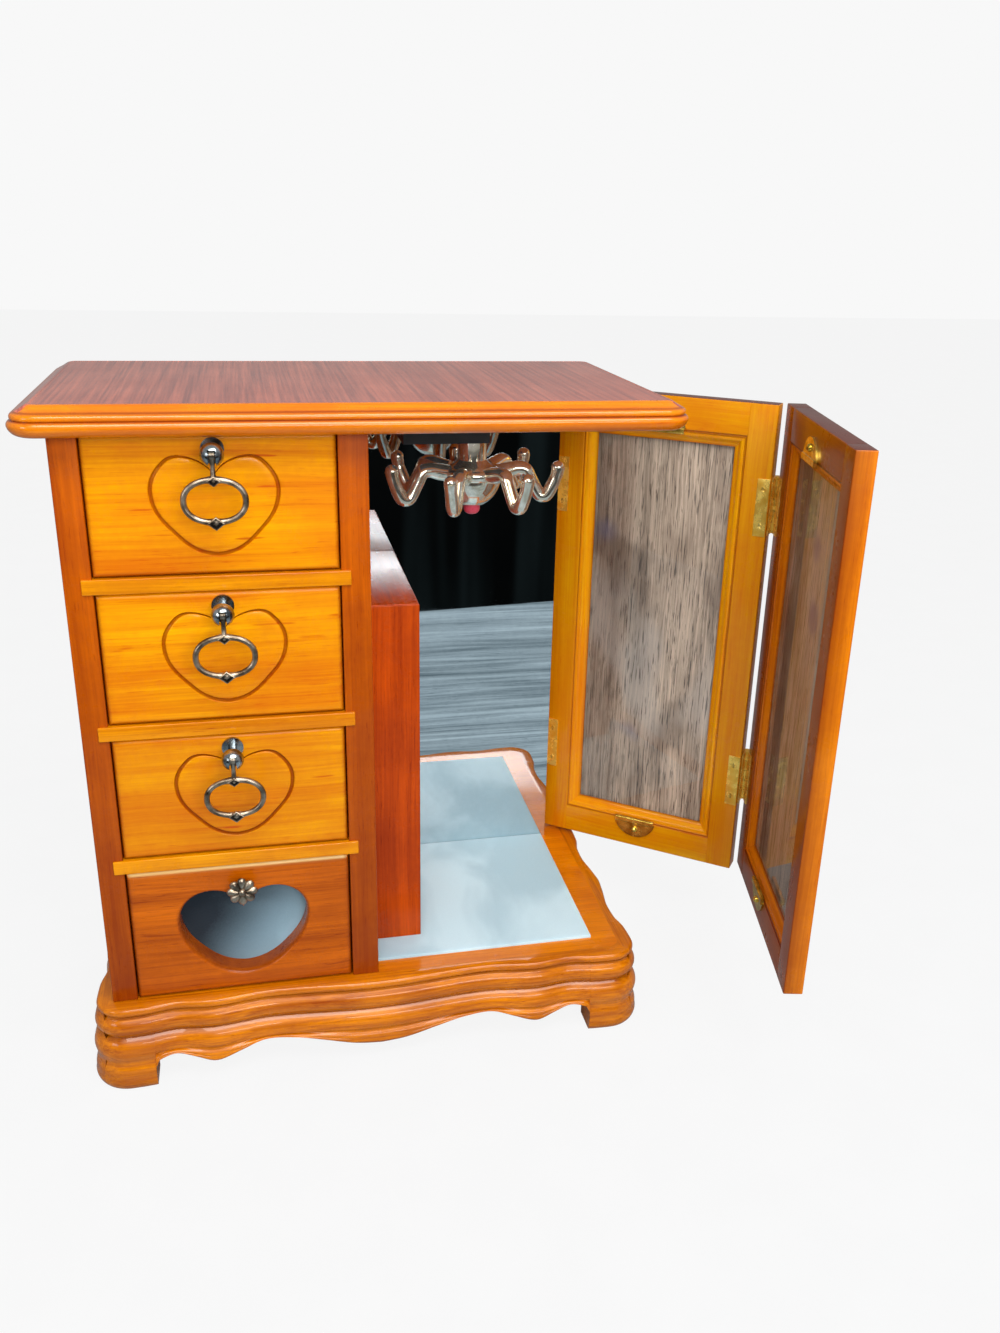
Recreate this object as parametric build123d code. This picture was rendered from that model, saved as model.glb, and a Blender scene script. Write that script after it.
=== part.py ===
from build123d import *
import math
import os

# Vanity box: a case on a scrolled plinth with four drawers on the left, a mirrored
# compartment with a necklace carousel on the right, and two doors hinged in a chain.
# Millimetres. +X right, +Y back, +Z up. The origin is the case's front left corner on the floor.

# ---- driving dimensions ----
case_width = 224.5
case_depth = 114.5
plinth_height = 38.5
bottom_opening = 61.8
drawer_opening = 53.4
rail_height = 5.9
top_thickness = 10.7
side_thickness = 10.1
drawer_bay_width = 91.0
partition_thickness = 11.3
back_thickness = 6.1
mirror_thickness = 2.2
base_board_thickness = 6.0
door_thickness = 8.6
hinge_gap = 1.0
knuckle_radius = 1.8
side_door_open = 52.6
front_door_open = 24.8

# ---- fits and clearances ----
drawer_play = 0.4
seat_gap = 0.3
pin_play = 0.05
swing_gap = 0.5

# ---- worked out from the driving dimensions ----
rail_count = 3
bay_left = side_thickness
bay_right = bay_left + drawer_bay_width
niche_left = bay_right + partition_thickness
case_top = plinth_height + bottom_opening + rail_count * (rail_height + drawer_opening)
overall_height = case_top + top_thickness
back_front = case_depth - back_thickness
mirror_front = back_front - mirror_thickness
back_right = case_width - door_thickness - hinge_gap
door_bottom = plinth_height + 1.7
door_top = case_top - seat_gap
side_axis = (back_right + hinge_gap / 2, case_depth + knuckle_radius)
front_axis = (case_width + knuckle_radius, door_thickness + hinge_gap / 2)
pad_thickness = 1.4
pad_top = plinth_height + pad_thickness
pad_front = 8.3
pad_right = back_right - 2.0
step_width = 22.4
step_right = niche_left + step_width
step_front = 24.0
step_top = 202.0
step_board = 5.0
carousel_from_partition = 49.1
carousel_from_mirror = 55.7
carousel_x = niche_left + carousel_from_partition
carousel_y = mirror_front - carousel_from_mirror
housing_height = 12.0
housing_bottom = case_top - housing_height


def box(x0, x1, y0, y1, z0, z1):
    """A block between two opposite corners."""
    centre = Location(((x0 + x1) / 2, (y0 + y1) / 2, (z0 + z1) / 2))
    return centre * Box(x1 - x0, y1 - y0, z1 - z0)


def rod(radius, length, start, direction):
    """A round bar from start along direction."""
    plane = Plane(origin=start, z_dir=direction)
    return extrude(plane * Circle(radius), amount=length)


def group(parts):
    """Separate solids kept together in one file."""
    return Compound(children=[part for part in parts])


def save(name, shape):
    export_step(shape, f"parts/{name}.step")


# ---- mouldings ----
# A section is drawn with x as the distance outward from the case's face and y as the height.

plinth_inner = 4.0
plinth_cove_drop = 15.5
plinth_scroll_rise = 14.4


def plinth_section():
    rebate = plinth_height - base_board_thickness
    cove = plinth_height - plinth_cove_drop
    with BuildLine() as outline:
        Polyline((0, plinth_height), (0, rebate), (-plinth_inner, rebate), (-plinth_inner, 0), (8.4, 0))
        ThreePointArc((8.4, 0), (9.8, 2.0), (10.2, 5.6))
        ThreePointArc((10.2, 5.6), (10.0, 8.6), (9.2, 10.8))
        ThreePointArc((9.2, 10.8), (8.8, 12.6), (9.2, plinth_scroll_rise))
        ThreePointArc((9.2, plinth_scroll_rise), (9.8, (plinth_scroll_rise + cove) / 2), (8.2, cove))
        Polyline((8.2, cove), (5.3, cove + 1.6))
        ThreePointArc((5.3, cove + 1.6), (8.7, plinth_height - 9.6), (6.4, plinth_height - 4.9))
        Polyline((6.4, plinth_height - 4.9), (6.0, plinth_height - 3.9))
        ThreePointArc((6.0, plinth_height - 3.9), (8.0, plinth_height - 2.1), (7.3, plinth_height))
        Line((7.3, plinth_height), (0, plinth_height))
    return make_face(outline.line)


def top_section():
    inner = -6.0
    with BuildLine() as outline:
        Polyline((inner, overall_height), (inner, case_top), (6.0, case_top))
        ThreePointArc((6.0, case_top), (10.6, case_top + 1.2), (11.9, case_top + 3.0))
        ThreePointArc((11.9, case_top + 3.0), (11.8, case_top + 4.2), (11.0, case_top + 5.0))
        ThreePointArc((11.0, case_top + 5.0), (11.4, case_top + 6.4), (10.0, case_top + 7.9))
        ThreePointArc((10.0, case_top + 7.9), (8.0, case_top + 10.0), (4.3, overall_height))
        Line((4.3, overall_height), (inner, overall_height))
    return make_face(outline.line)


def moulded_ring(section, inset):
    """The section carried round the case, with corners turned about points inset from its corners."""
    profile = Pos(inset, 0) * section
    length = case_width - 2 * inset
    depth = case_depth - 2 * inset
    ring = None
    x, y = inset, inset
    for heading, run in ((0, length), (90, depth), (180, length), (270, depth)):
        along = Vector(1, 0, 0).rotate(Axis.Z, heading)
        outward = Vector(0, -1, 0).rotate(Axis.Z, heading)
        start = Plane(origin=(x, y, 0), x_dir=outward, z_dir=-along)
        straight = extrude(start * profile, amount=-run)
        x, y = x + along.X * run, y + along.Y * run
        end = Plane(origin=(x, y, 0), x_dir=outward, z_dir=-along)
        corner = revolve(end * profile, axis=Axis((x, y, 0), (0, 0, 1)), revolution_arc=90)
        ring = straight + corner if ring is None else ring + straight + corner
    return ring


def mitre_wedge(side):
    """The quarter of the plan that one side's moulding fills, cut at 45 degrees at both corners."""
    reach = 30.0
    w, d, half = case_width, case_depth, case_depth / 2
    outlines = {
        "front": ((-reach, -reach), (w + reach, -reach), (w - half, half), (half, half)),
        "right": ((w + reach, -reach), (w + reach, d + reach), (w - half, half)),
        "rear": ((w + reach, d + reach), (-reach, d + reach), (half, half), (w - half, half)),
        "left": ((-reach, d + reach), (-reach, -reach), (half, half)),
    }
    return extrude(make_face(Polyline(*outlines[side], close=True)), amount=plinth_height)


foot_width = 26.0
plinth_reach = 10.2


def scroll_cut(length, drops):
    """The space under an apron of this length: feet at both ends and a scalloped edge between."""
    inner = length / 2 - foot_width
    points = [(-inner, 8.7), *[(-x, z) for x, z in drops], (0, 7.9)]
    points += [(x, z) for x, z in reversed(drops)] + [(inner, 8.7)]
    with BuildLine() as outline:
        Spline(*points, tangents=((0, 1), (0, -1)), tangent_scalars=(0.6, 0.6))
        Polyline(points[-1], (inner, -1), (-inner, -1), points[0])
    thickness = case_width + case_depth
    return extrude(Plane.XZ * make_face(outline.line), amount=thickness, both=True)


def plinth():
    ring = moulded_ring(plinth_section(), 5.0)
    long_scallops = ((92.5, 13.3), (87.0, 14.5), (71.0, 8.9), (50.0, 16.0), (25.0, 12.6))
    long_cut = Pos(case_width / 2, 0) * scroll_cut(case_width + 2 * plinth_reach, long_scallops)
    short_cut = scroll_cut(case_depth + 2 * plinth_reach, ((33.0, 14.6), (22.0, 15.5)))
    short_cut = Pos(0, case_depth / 2) * short_cut.rotate(Axis.Z, 90)
    for side in ("front", "right", "rear", "left"):
        apron = ring & mitre_wedge(side)
        apron -= long_cut if side in ("front", "rear") else short_cut
        save(f"plinth_{side}", apron)


def base_board():
    plan = RectangleRounded(case_width, case_depth, 5.0)
    board = extrude(plan, amount=base_board_thickness)
    height = plinth_height - base_board_thickness
    save("base_board", Pos(case_width / 2, case_depth / 2, height) * board)


def top_board():
    inset = 6.5
    ring = moulded_ring(top_section(), inset)
    overlap = inset - 1.0
    core = box(overlap, case_width - overlap, overlap, case_depth - overlap, case_top, overall_height)
    save("top_board", ring + core)


# ---- case ----

def case_boards():
    save("left_side", box(0, bay_left, 0, back_front, plinth_height, case_top))
    save("partition", box(bay_right, niche_left, 0, back_front, plinth_height, case_top))
    save("back_panel", box(0, back_right, back_front, case_depth, plinth_height, case_top))


def opening_bottom(number):
    """The height of the bottom of drawer opening number 1 (top) to 4 (bottom)."""
    if number == rail_count + 1:
        return plinth_height
    return case_top - number * drawer_opening - (number - 1) * rail_height


rail_lap = 3.8
rail_depth = 14.0
rail_proud = 1.0
dust_thickness = 3.0


def rails():
    """Front rails whose faces lap over the uprights, each with the thin dust panel behind it."""
    for number in range(1, rail_count + 1):
        top = opening_bottom(number)
        tongue = box(bay_left, bay_right, 0, rail_depth, top - rail_height, top)
        face = box(bay_left - rail_lap, bay_right + rail_lap, -rail_proud, 0, top - rail_height, top)
        save(f"rail_{number}", tongue + face)
        panel = box(bay_left, bay_right, rail_depth, back_front, top - dust_thickness, top)
        save(f"dust_panel_{number}", panel)


def niche():
    mirror = box(niche_left, back_right, mirror_front, back_front, plinth_height, case_top)
    save("mirror", mirror)
    front_strip = box(niche_left, step_right, pad_front, step_front, plinth_height, pad_top)
    field = box(step_right, pad_right, pad_front, mirror_front, plinth_height, pad_top)
    save("floor_pad", front_strip + field)
    lid_under = step_top - step_board
    inner = step_right - step_board
    save("step_box_front", box(niche_left, step_right, step_front, step_front + step_board,
                               plinth_height, lid_under))
    save("step_box_side", box(inner, step_right, step_front + step_board, mirror_front,
                              plinth_height, lid_under))
    save("step_box_top", box(niche_left, step_right, step_front, mirror_front, lid_under, step_top))


# ---- carousel ----
spindle_radius = 2.0
spindle_length = 10.0
column_radius = 6.0
hub_radius = 12.8
hub_drop = 12.7
hub_top = housing_bottom - hub_drop
flange_thickness = 2.7
bowl_drop = 16.2
bowl_radius = 11.4
housing_left = 31.5
housing_right = 4.0
housing_half_depth = 16.5
cap_radius = 3.5
cap_height = 4.2
hook_count = 7
hook_phase = -11.4
hook_wire = 1.7
hook_drop = 12.2
hook_reach = 37.0
hook_bend = 2.6
hook_tip_rise = 1.1


def carousel_housing():
    block = box(carousel_x - housing_left, carousel_x + housing_right,
                carousel_y - housing_half_depth, carousel_y + housing_half_depth,
                housing_bottom, case_top)
    bore = rod(spindle_radius + pin_play, spindle_length + 1.0,
               (carousel_x, carousel_y, housing_bottom), (0, 0, 1))
    save("carousel_housing", block - bore)


def carousel_hub():
    """A turned hub: spindle, column, flange and a bowl under it."""
    flange_under = hub_top - flange_thickness
    column_top = housing_bottom - seat_gap
    spindle_top = housing_bottom + spindle_length
    bowl_bottom = hub_top - bowl_drop
    with BuildLine() as outline:
        Polyline((0, bowl_bottom), (bowl_radius * 0.4, bowl_bottom))
        ThreePointArc((bowl_radius * 0.4, bowl_bottom),
                      (bowl_radius * 0.825, bowl_bottom + bowl_drop * 0.32),
                      (bowl_radius, flange_under))
        Polyline((bowl_radius, flange_under), (hub_radius, flange_under), (hub_radius, hub_top),
                 (column_radius, hub_top), (column_radius, column_top),
                 (spindle_radius, column_top), (spindle_radius, spindle_top), (0, spindle_top),
                 (0, bowl_bottom))
    profile = Plane.XZ * make_face(outline.line)
    axis = Pos(carousel_x, carousel_y)
    save("carousel_hub", axis * revolve(profile, Axis.Z))
    cap = rod(cap_radius, cap_height, (carousel_x, carousel_y, bowl_bottom - cap_height), (0, 0, 1))
    save("carousel_cap", cap)


def hook():
    """One necklace hook, along +X from the hub's rim: out, down, across and up to a ball."""
    root = hub_top - flange_thickness / 2
    dip = hub_top - hook_drop
    tip = hub_top + hook_tip_rise
    fall = hook_reach - 12.0
    route = FilletPolyline((hub_radius + 0.1, root), (fall, root), (fall + 2.0, dip),
                           (hook_reach - 3.6, dip), (hook_reach, tip), radius=hook_bend)
    start = Plane(origin=(hub_radius + 0.1, 0, root), z_dir=(1, 0, 0))
    wire = sweep(start * Circle(hook_wire), path=Plane.XZ * route)
    return wire + Pos(hook_reach, 0, tip) * Sphere(hook_wire + 0.4)


def carousel_hooks():
    one = hook()
    step = 360 / hook_count
    hooks = [one.rotate(Axis.Z, hook_phase + step * turn) for turn in range(hook_count)]
    save("carousel_hooks", group([Pos(carousel_x, carousel_y) * each for each in hooks]))


# ---- drawers ----
front_thickness = 9.0
drawer_side = 4.0
drawer_rear_gap = 7.4
drawer_depth = back_front - front_thickness - drawer_rear_gap
pull_height = 47.5
knob_height = 51.7
pull_reach = 12.0
pull_x = 56.2
ball_radius = 4.3


def heart(width, tip_drop, notch_rise):
    """A heart in plane XZ about its widest line: two arcs a side, upright where they meet."""
    half = width / 2
    lobe = (half ** 2 + notch_rise ** 2) / width
    flank = (half ** 2 + tip_drop ** 2) / width
    turn = math.atan2(tip_drop, flank - half) / 2
    knee = (half - flank + flank * math.cos(turn), -flank * math.sin(turn))
    edge = []
    for sign in (1, -1):
        edge.append(ThreePointArc((0, notch_rise), (sign * (half - lobe), lobe), (sign * half, 0)))
        edge.append(ThreePointArc((sign * half, 0), (sign * knee[0], knee[1]), (0, -tip_drop)))
    return Plane.XZ * make_face(edge)


def rounded_front(number):
    """The board that closes the opening, with its outer edges eased."""
    low = opening_bottom(number) + drawer_play
    height = bottom_opening if number == rail_count + 1 else drawer_opening
    high = opening_bottom(number) + height - drawer_play
    board = box(bay_left + drawer_play, bay_right - drawer_play, 0, front_thickness, low, high)
    return fillet(board.faces().sort_by(Axis.Y)[0].edges(), 0.8)


def carved_front(number):
    """A front with a heart-shaped groove round the pull."""
    width, drop, notch = 47.6, 24.9, 6.0
    line = 1.6
    scale = 1 - 2 * line / width
    outer = heart(width, drop, notch)
    inner = heart(width * scale, drop * scale, notch * scale)
    groove = extrude(outer - inner, amount=1.0, both=True)
    middle = opening_bottom(number) + 32.0
    save(f"drawer_{number}_front", rounded_front(number) - Pos(pull_x, 0, middle) * groove)


def window_front(number):
    """The bottom drawer's front, cut right through with a heart."""
    middle = opening_bottom(number) + 35.7
    opening = extrude(heart(52.4, 27.2, 3.0), amount=front_thickness + 1, both=True)
    save(f"drawer_{number}_front", rounded_front(number) - Pos(pull_x, 0, middle) * opening)


def drawer_box(number):
    """Two sides and a back, the bottom board under them, and for the bottom drawer a window board."""
    low = opening_bottom(number) + seat_gap
    height = bottom_opening if number == rail_count + 1 else drawer_opening
    floor = low + 2.5
    high = low + height - 6.0
    left = bay_left + 1.2
    right = bay_right - 1.2
    rear = front_thickness + drawer_depth
    window = number == rail_count + 1
    lining = 1.5 if window else 0.0
    start = front_thickness + lining
    boards = [
        box(left, left + drawer_side, start, rear - drawer_side, floor, high),
        box(right - drawer_side, right, start, rear - drawer_side, floor, high),
        box(left, right, rear - drawer_side, rear, floor, high),
    ]
    save(f"drawer_{number}_box", group(boards))
    save(f"drawer_{number}_bottom", box(left, right, start, rear, low, floor))
    if window:
        save("window_backing", box(left, right, front_thickness, start, low, high))


pin_radius = 0.7
eye_width = 2.2
bail_wire = 1.1
ring_half_width = 10.85
ring_half_height = 7.7
ring_end_radius = 7.4
ring_drop = 16.6


def pull_post(number):
    """A turned post ending in a ball, slotted for the bail's eye, with the bail's pin across it."""
    z = opening_bottom(number) + pull_height
    seat = rod(4.2, 1.2, (pull_x, 0, z), (0, -1, 0))
    stem = rod(1.7, pull_reach, (pull_x, 0, z), (0, -1, 0))
    ball = Pos(pull_x, -pull_reach, z) * Sphere(ball_radius)
    half = eye_width / 2 + seat_gap
    slot = box(pull_x - half, pull_x + half, -pull_reach - 5, -pull_reach + 2.2, z - 5, z + 2.2)
    pin = rod(pin_radius, 2 * half + 1, (pull_x - half - 0.5, -pull_reach, z), (1, 0, 0))
    save(f"drawer_{number}_pull", (seat + stem + ball - slot) + pin)


def oval_ring(half_width, half_height, end_radius, wire):
    """Round wire bent to an oval of four tangent arcs about the origin, in plane XZ."""
    inset = half_width - end_radius
    side_radius = (inset ** 2 + half_height ** 2 - end_radius ** 2) / (2 * (half_height - end_radius))
    lean = math.degrees(math.atan2(side_radius - half_height, inset))
    right = Pos(half_width, 0, 0) * Circle(wire)
    upper = Plane(origin=(0, 0, half_height), z_dir=(1, 0, 0)) * Circle(wire)
    ring = []
    for face, centre, spread in ((right, (inset, 0, 0), lean),
                                 (upper, (0, 0, half_height - side_radius), 90 - lean)):
        axis = Axis(centre, (0, 1, 0))
        arc = revolve(face.rotate(axis, -spread), axis=axis, revolution_arc=2 * spread)
        ring += [arc, arc.rotate(Axis.Y, 180)]
    return ring[0] + ring[1:]


def bail(number):
    """A hanging ring with a stem up to its eye, and a small lozenge at the bottom."""
    z = opening_bottom(number) + pull_height
    hang = Pos(pull_x, -pull_reach, z)
    ring = Pos(0, 0, -ring_drop) * oval_ring(ring_half_width, ring_half_height, ring_end_radius,
                                            bail_wire)
    stem_bottom = ring_drop - ring_half_height
    stem = rod(0.9, stem_bottom - 0.2, (0, 0, -stem_bottom), (0, 0, 1))
    eye = rod(1.9, eye_width, (-eye_width / 2, 0, 0), (1, 0, 0))
    lozenge = box(-1.8, 1.8, -0.9, 0.9, -1.8, 1.8).rotate(Axis.Y, 45)
    drop = Pos(0, 0, -ring_drop - ring_half_height) * lozenge
    collar = Pos(0, 0, 1.2 - stem_bottom) * Sphere(1.7)
    bore = rod(pin_radius + pin_play, eye_width + 1, (-eye_width / 2 - 0.5, 0, 0), (1, 0, 0))
    save(f"bail_{number}", hang * (ring + stem + eye + drop + collar - bore))


def flower_knob():
    """The bottom drawer's knob: a short post and a disc with eight round petals."""
    z = opening_bottom(rail_count + 1) + knob_height
    petals = 8
    post = rod(1.9, 6.0, (pull_x, 0, z), (0, -1, 0))
    flower = Pos(pull_x, -6.0, z) * Sphere(2.6)
    for turn in range(petals):
        angle = 2 * math.pi * turn / petals
        centre = (pull_x + 4.0 * math.cos(angle), -6.0, z + 4.0 * math.sin(angle))
        flower += Pos(*centre) * Sphere(1.9)
    save(f"drawer_{rail_count + 1}_knob", post + flower)


# ---- doors, drawn closed, then turned open about their hinges ----
stile_width = 13.0
door_rail_width = 15.0
bead_width = 6.1
glass_depth = 4.0
glass_thickness = 1.5
panel_thickness = 2.5
rebate_width = 2.8


def swing_side(shape):
    """Turn a piece on the side door to where that door rests."""
    return shape.rotate(Axis((side_axis[0], side_axis[1], 0), (0, 0, 1)), side_door_open)


def swing_front(shape):
    """Turn a piece on the front door about its own hinge, then with the side door."""
    turned = shape.rotate(Axis((front_axis[0], front_axis[1], 0), (0, 0, 1)), front_door_open)
    return swing_side(turned)


# A door's own frame: x runs from its hinge edge, y from its inner face outward, z up.

def framing_bar(length, width):
    """A bar along x with its inner edge up and a sloped bead from its face down to the glass."""
    lip = width + bead_width
    with BuildLine() as outline:
        Polyline((0, 0), (width, 0), (width + 1.2, 1.1), (lip, glass_depth),
                 (width + rebate_width, glass_depth), (width + rebate_width, door_thickness),
                 (0, door_thickness), (0, 0))
    section = Plane(origin=(0, 0, 0), x_dir=(0, 0, 1), z_dir=(-1, 0, 0)) * make_face(outline.line)
    return extrude(section, amount=-length)


def mitred(bar, length, start, width):
    """Cut the bead at both ends of a bar at 45 degrees, from the point where its neighbour begins."""
    far = 40.0
    outline = Polyline((-far, width), (start, width), (start + far, width + far),
                       (-far, width + far), close=True)
    cutter = extrude(Plane.XZ * make_face(outline), amount=far, both=True)
    return bar - cutter - Pos(length, 0, 0) * cutter.rotate(Axis.Z, 180)


def door_pieces(width):
    """Stiles, rails, glass and panel of a door of this width, in the door's own frame."""
    height = door_top - door_bottom
    rail = mitred(framing_bar(width, door_rail_width), width, stile_width, door_rail_width)
    rail &= box(stile_width, width - stile_width, 0, door_thickness, 0, height)
    upright = mitred(framing_bar(height, stile_width), height, door_rail_width, stile_width)
    top_rail = Pos(width, 0, height) * rail.rotate(Axis.Y, 180)
    hinge_stile = Pos(0, 0, height) * upright.rotate(Axis.Y, 90)
    free_stile = Pos(width, 0, 0) * upright.rotate(Axis.Y, -90)
    edge = rebate_width + 0.2
    inner = (stile_width + edge, width - stile_width - edge, door_rail_width + edge,
             height - door_rail_width - edge)
    glass_back = glass_depth + glass_thickness
    glass = box(inner[0], inner[1], glass_depth, glass_back, inner[2], inner[3])
    panel = box(inner[0], inner[1], glass_back, glass_back + panel_thickness, inner[2], inner[3])
    return {
        "stiles": group([hinge_stile, free_stile]),
        "rails": group([rail, top_rail]),
        "glass": glass,
        "panel": panel,
    }


button_chord = 22.0
button_sagitta = 8.5
button_u = 52.2
button_rise = 14.4
screw_drop = 4.0


def turn_button():
    """A half-moon catch: a segment of a disc under a straight rib, pivoted on a round-head screw."""
    radius = (button_chord ** 2 / 4 + button_sagitta ** 2) / (2 * button_sagitta)
    disc = extrude(Plane.XZ * Circle(radius), amount=1.0)
    moon = Pos(0, 0, radius - button_sagitta) * disc
    moon &= box(-button_chord, button_chord, -2, 1, -2 * radius, 0)
    rib = box(-button_chord / 2 + 0.6, button_chord / 2 - 0.6, -1.8, 0, -0.6, 2.6)
    rib = fillet(rib.edges().filter_by(Axis.X).group_by(Axis.Y)[0], 0.8)
    screw = Pos(0, -1.0, -screw_drop) * Sphere(1.7)
    screw &= box(-3, 3, -4, 0, -10, 4)
    return moon + rib + screw


def side_door():
    width = case_depth - door_thickness - hinge_gap
    place = Plane(origin=(case_width - door_thickness, case_depth, door_bottom),
                  x_dir=(0, -1, 0), z_dir=(0, 0, 1)).location
    for name, piece in door_pieces(width).items():
        save(f"side_door_{name}", swing_side(place * piece))
    place_buttons("side_door", place, swing_side)


def front_door():
    width = case_width - niche_left - swing_gap
    place = Plane(origin=(case_width, door_thickness, door_bottom),
                  x_dir=(-1, 0, 0), z_dir=(0, 0, 1)).location
    for name, piece in door_pieces(width).items():
        save(f"front_door_{name}", swing_front(place * piece))
    place_buttons("front_door", place, swing_front)


def place_buttons(door, place, swing):
    height = door_top - door_bottom
    button = turn_button()
    low = Pos(button_u, 0, button_rise) * button
    high = Pos(button_u, 0, height - button_rise) * button.rotate(Axis.Y, 180)
    save(f"{door}_lower_button", swing(place * low))
    save(f"{door}_upper_button", swing(place * high))


# ---- hinges, with the axis on z, the leaves towards -y and the gap's middle on x = 0 ----
hinge_length = 27.0
hinge_heights = (230.9, 90.7)
knuckle_count = 5
leaf_width = 5.6
leaf_thickness = 0.4
leaf_edge = 0.15


def hinge_leaf(side, knuckles):
    """A leaf on side -1 or +1 of the gap, with its own knuckles of the five."""
    x = side * hinge_gap / 2
    face = sorted((x, x - side * leaf_thickness))
    near = -knuckle_radius - leaf_edge
    leaf = box(face[0], face[1], near - leaf_width, near, 0, hinge_length)
    step = hinge_length / knuckle_count
    for index in knuckles:
        low = index * step + 0.1
        high = (index + 1) * step - 0.1
        leaf += box(face[0], face[1], near, 0, low, high)
        leaf += rod(knuckle_radius, high - low, (0, 0, low), (0, 0, 1))
    return leaf


def hinge_halves():
    """The half with three knuckles and the pin, and the half with two bored knuckles."""
    pinned = hinge_leaf(-1, (0, 2, 4)) + rod(pin_radius, hinge_length, (0, 0, 0), (0, 0, 1))
    bore = rod(pin_radius + pin_play, hinge_length, (0, 0, 0), (0, 0, 1))
    return pinned, hinge_leaf(1, (1, 3)) - bore


def hinges():
    pinned, bored = hinge_halves()
    lows = [middle - hinge_length / 2 for middle in hinge_heights]
    on_back = [Pos(*side_axis, low) * pinned for low in lows]
    on_side = [Pos(*side_axis, low) * bored for low in lows]
    save("side_hinge_case_leaves", group(on_back))
    save("side_hinge_door_leaves", group([swing_side(leaf) for leaf in on_side]))
    turned = [half.rotate(Axis.Z, -90) for half in (pinned, bored)]
    on_side = [Pos(*front_axis, low) * turned[0] for low in lows]
    on_front = [Pos(*front_axis, low) * turned[1] for low in lows]
    save("front_hinge_side_leaves", group([swing_side(leaf) for leaf in on_side]))
    save("front_hinge_door_leaves", group([swing_front(leaf) for leaf in on_front]))


def drawers():
    for number in range(1, rail_count + 1):
        carved_front(number)
        drawer_box(number)
        pull_post(number)
        bail(number)
    window_front(rail_count + 1)
    drawer_box(rail_count + 1)
    flower_knob()


os.makedirs("parts", exist_ok=True)
plinth()
base_board()
top_board()
case_boards()
rails()
niche()
carousel_housing()
carousel_hub()
carousel_hooks()
drawers()
side_door()
front_door()
hinges()
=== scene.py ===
import math

import bmesh
import bpy
import numpy as np
from mathutils import Matrix, Vector


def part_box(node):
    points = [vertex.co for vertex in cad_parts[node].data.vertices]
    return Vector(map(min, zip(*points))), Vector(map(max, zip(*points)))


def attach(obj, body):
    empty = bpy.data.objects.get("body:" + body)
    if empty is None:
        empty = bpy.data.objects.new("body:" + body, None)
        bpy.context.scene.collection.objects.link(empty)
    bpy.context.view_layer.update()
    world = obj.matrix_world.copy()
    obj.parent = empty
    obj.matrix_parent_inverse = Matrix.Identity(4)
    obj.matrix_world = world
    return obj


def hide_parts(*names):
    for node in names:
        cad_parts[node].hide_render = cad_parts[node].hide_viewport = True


# A vanity box: a case on a serpentine plinth with four drawers, a mirrored niche with a
# necklace carousel, and two glazed doors hinged in a chain. Sizes here are in millimetres
# and become metres when a mesh is made. +X right, +Y back, +Z up.

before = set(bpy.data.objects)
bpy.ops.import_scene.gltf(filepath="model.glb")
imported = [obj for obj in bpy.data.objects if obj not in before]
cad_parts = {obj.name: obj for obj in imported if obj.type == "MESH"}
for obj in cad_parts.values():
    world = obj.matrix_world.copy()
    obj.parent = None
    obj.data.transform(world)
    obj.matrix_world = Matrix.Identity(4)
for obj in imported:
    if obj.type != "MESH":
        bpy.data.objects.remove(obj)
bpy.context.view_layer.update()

MM = 0.001
# in metres: points nearer than a weld become one, and an edge shorter than a sliver goes
weld, sliver = 1e-6, 1e-7

case_width, case_depth = 224.5, 114.5
plinth_height, case_top, overall_height = 38.5, 278.2, 288.9
bay_left, bay_right, niche_left = 10.1, 101.1, 112.4
back_front, back_right = 108.4, 214.9
step_right, step_front, step_back, step_top = 134.8, 24.0, 106.2, 202.0
rail_height, drawer_opening, bottom_opening = 5.9, 53.4, 61.8
front_thickness, front_clearance = 9.0, 0.4
pull_x, pull_reach, pull_height, knob_height = 56.2, 12.0, 47.5, 51.7
door_thickness, stile_width, door_rail_width = 8.6, 13.0, 15.0
door_bottom, door_top = 40.2, 277.9
side_door_width, front_door_width = 104.9, 111.6
side_axis, side_open = np.array([215.4, 116.3, 0.0]), 52.6
front_axis, front_open = np.array([226.3, 9.1, 0.0]), 24.8
hinge_heights, hinge_half_height, screw_step = (190.7, 50.5), 13.5, 8.5
carousel_x, carousel_y = 161.5, 50.5
housing_bottom, hub_top = 266.2, 253.5
hook_count, hook_phase = 7, -11.4


def opening_bottom(number):
    """Drawer openings go down from the case's top by one opening and one rail each."""
    if number == 4:
        return plinth_height
    return case_top - number * drawer_opening - (number - 1) * rail_height


# ---- curves and surfaces ----

def through(points, count):
    """Catmull-Rom curve through the points: each span is the cubic whose ends are two points
    and whose slopes there are half the step between their neighbours."""
    p = np.asarray(points, float)
    p = np.vstack([2 * p[0] - p[1], p, 2 * p[-1] - p[-2]])
    spans = len(p) - 3
    t = np.linspace(0, spans, count)
    i = np.minimum(t.astype(int), spans - 1)
    u = (t - i)[:, None]
    a, b, c, d = p[i], p[i + 1], p[i + 2], p[i + 3]
    return 0.5 * (2 * b + (c - a) * u + (2 * a - 5 * b + 4 * c - d) * u ** 2
                  + (3 * b - a - 3 * c + d) * u ** 3)


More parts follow.
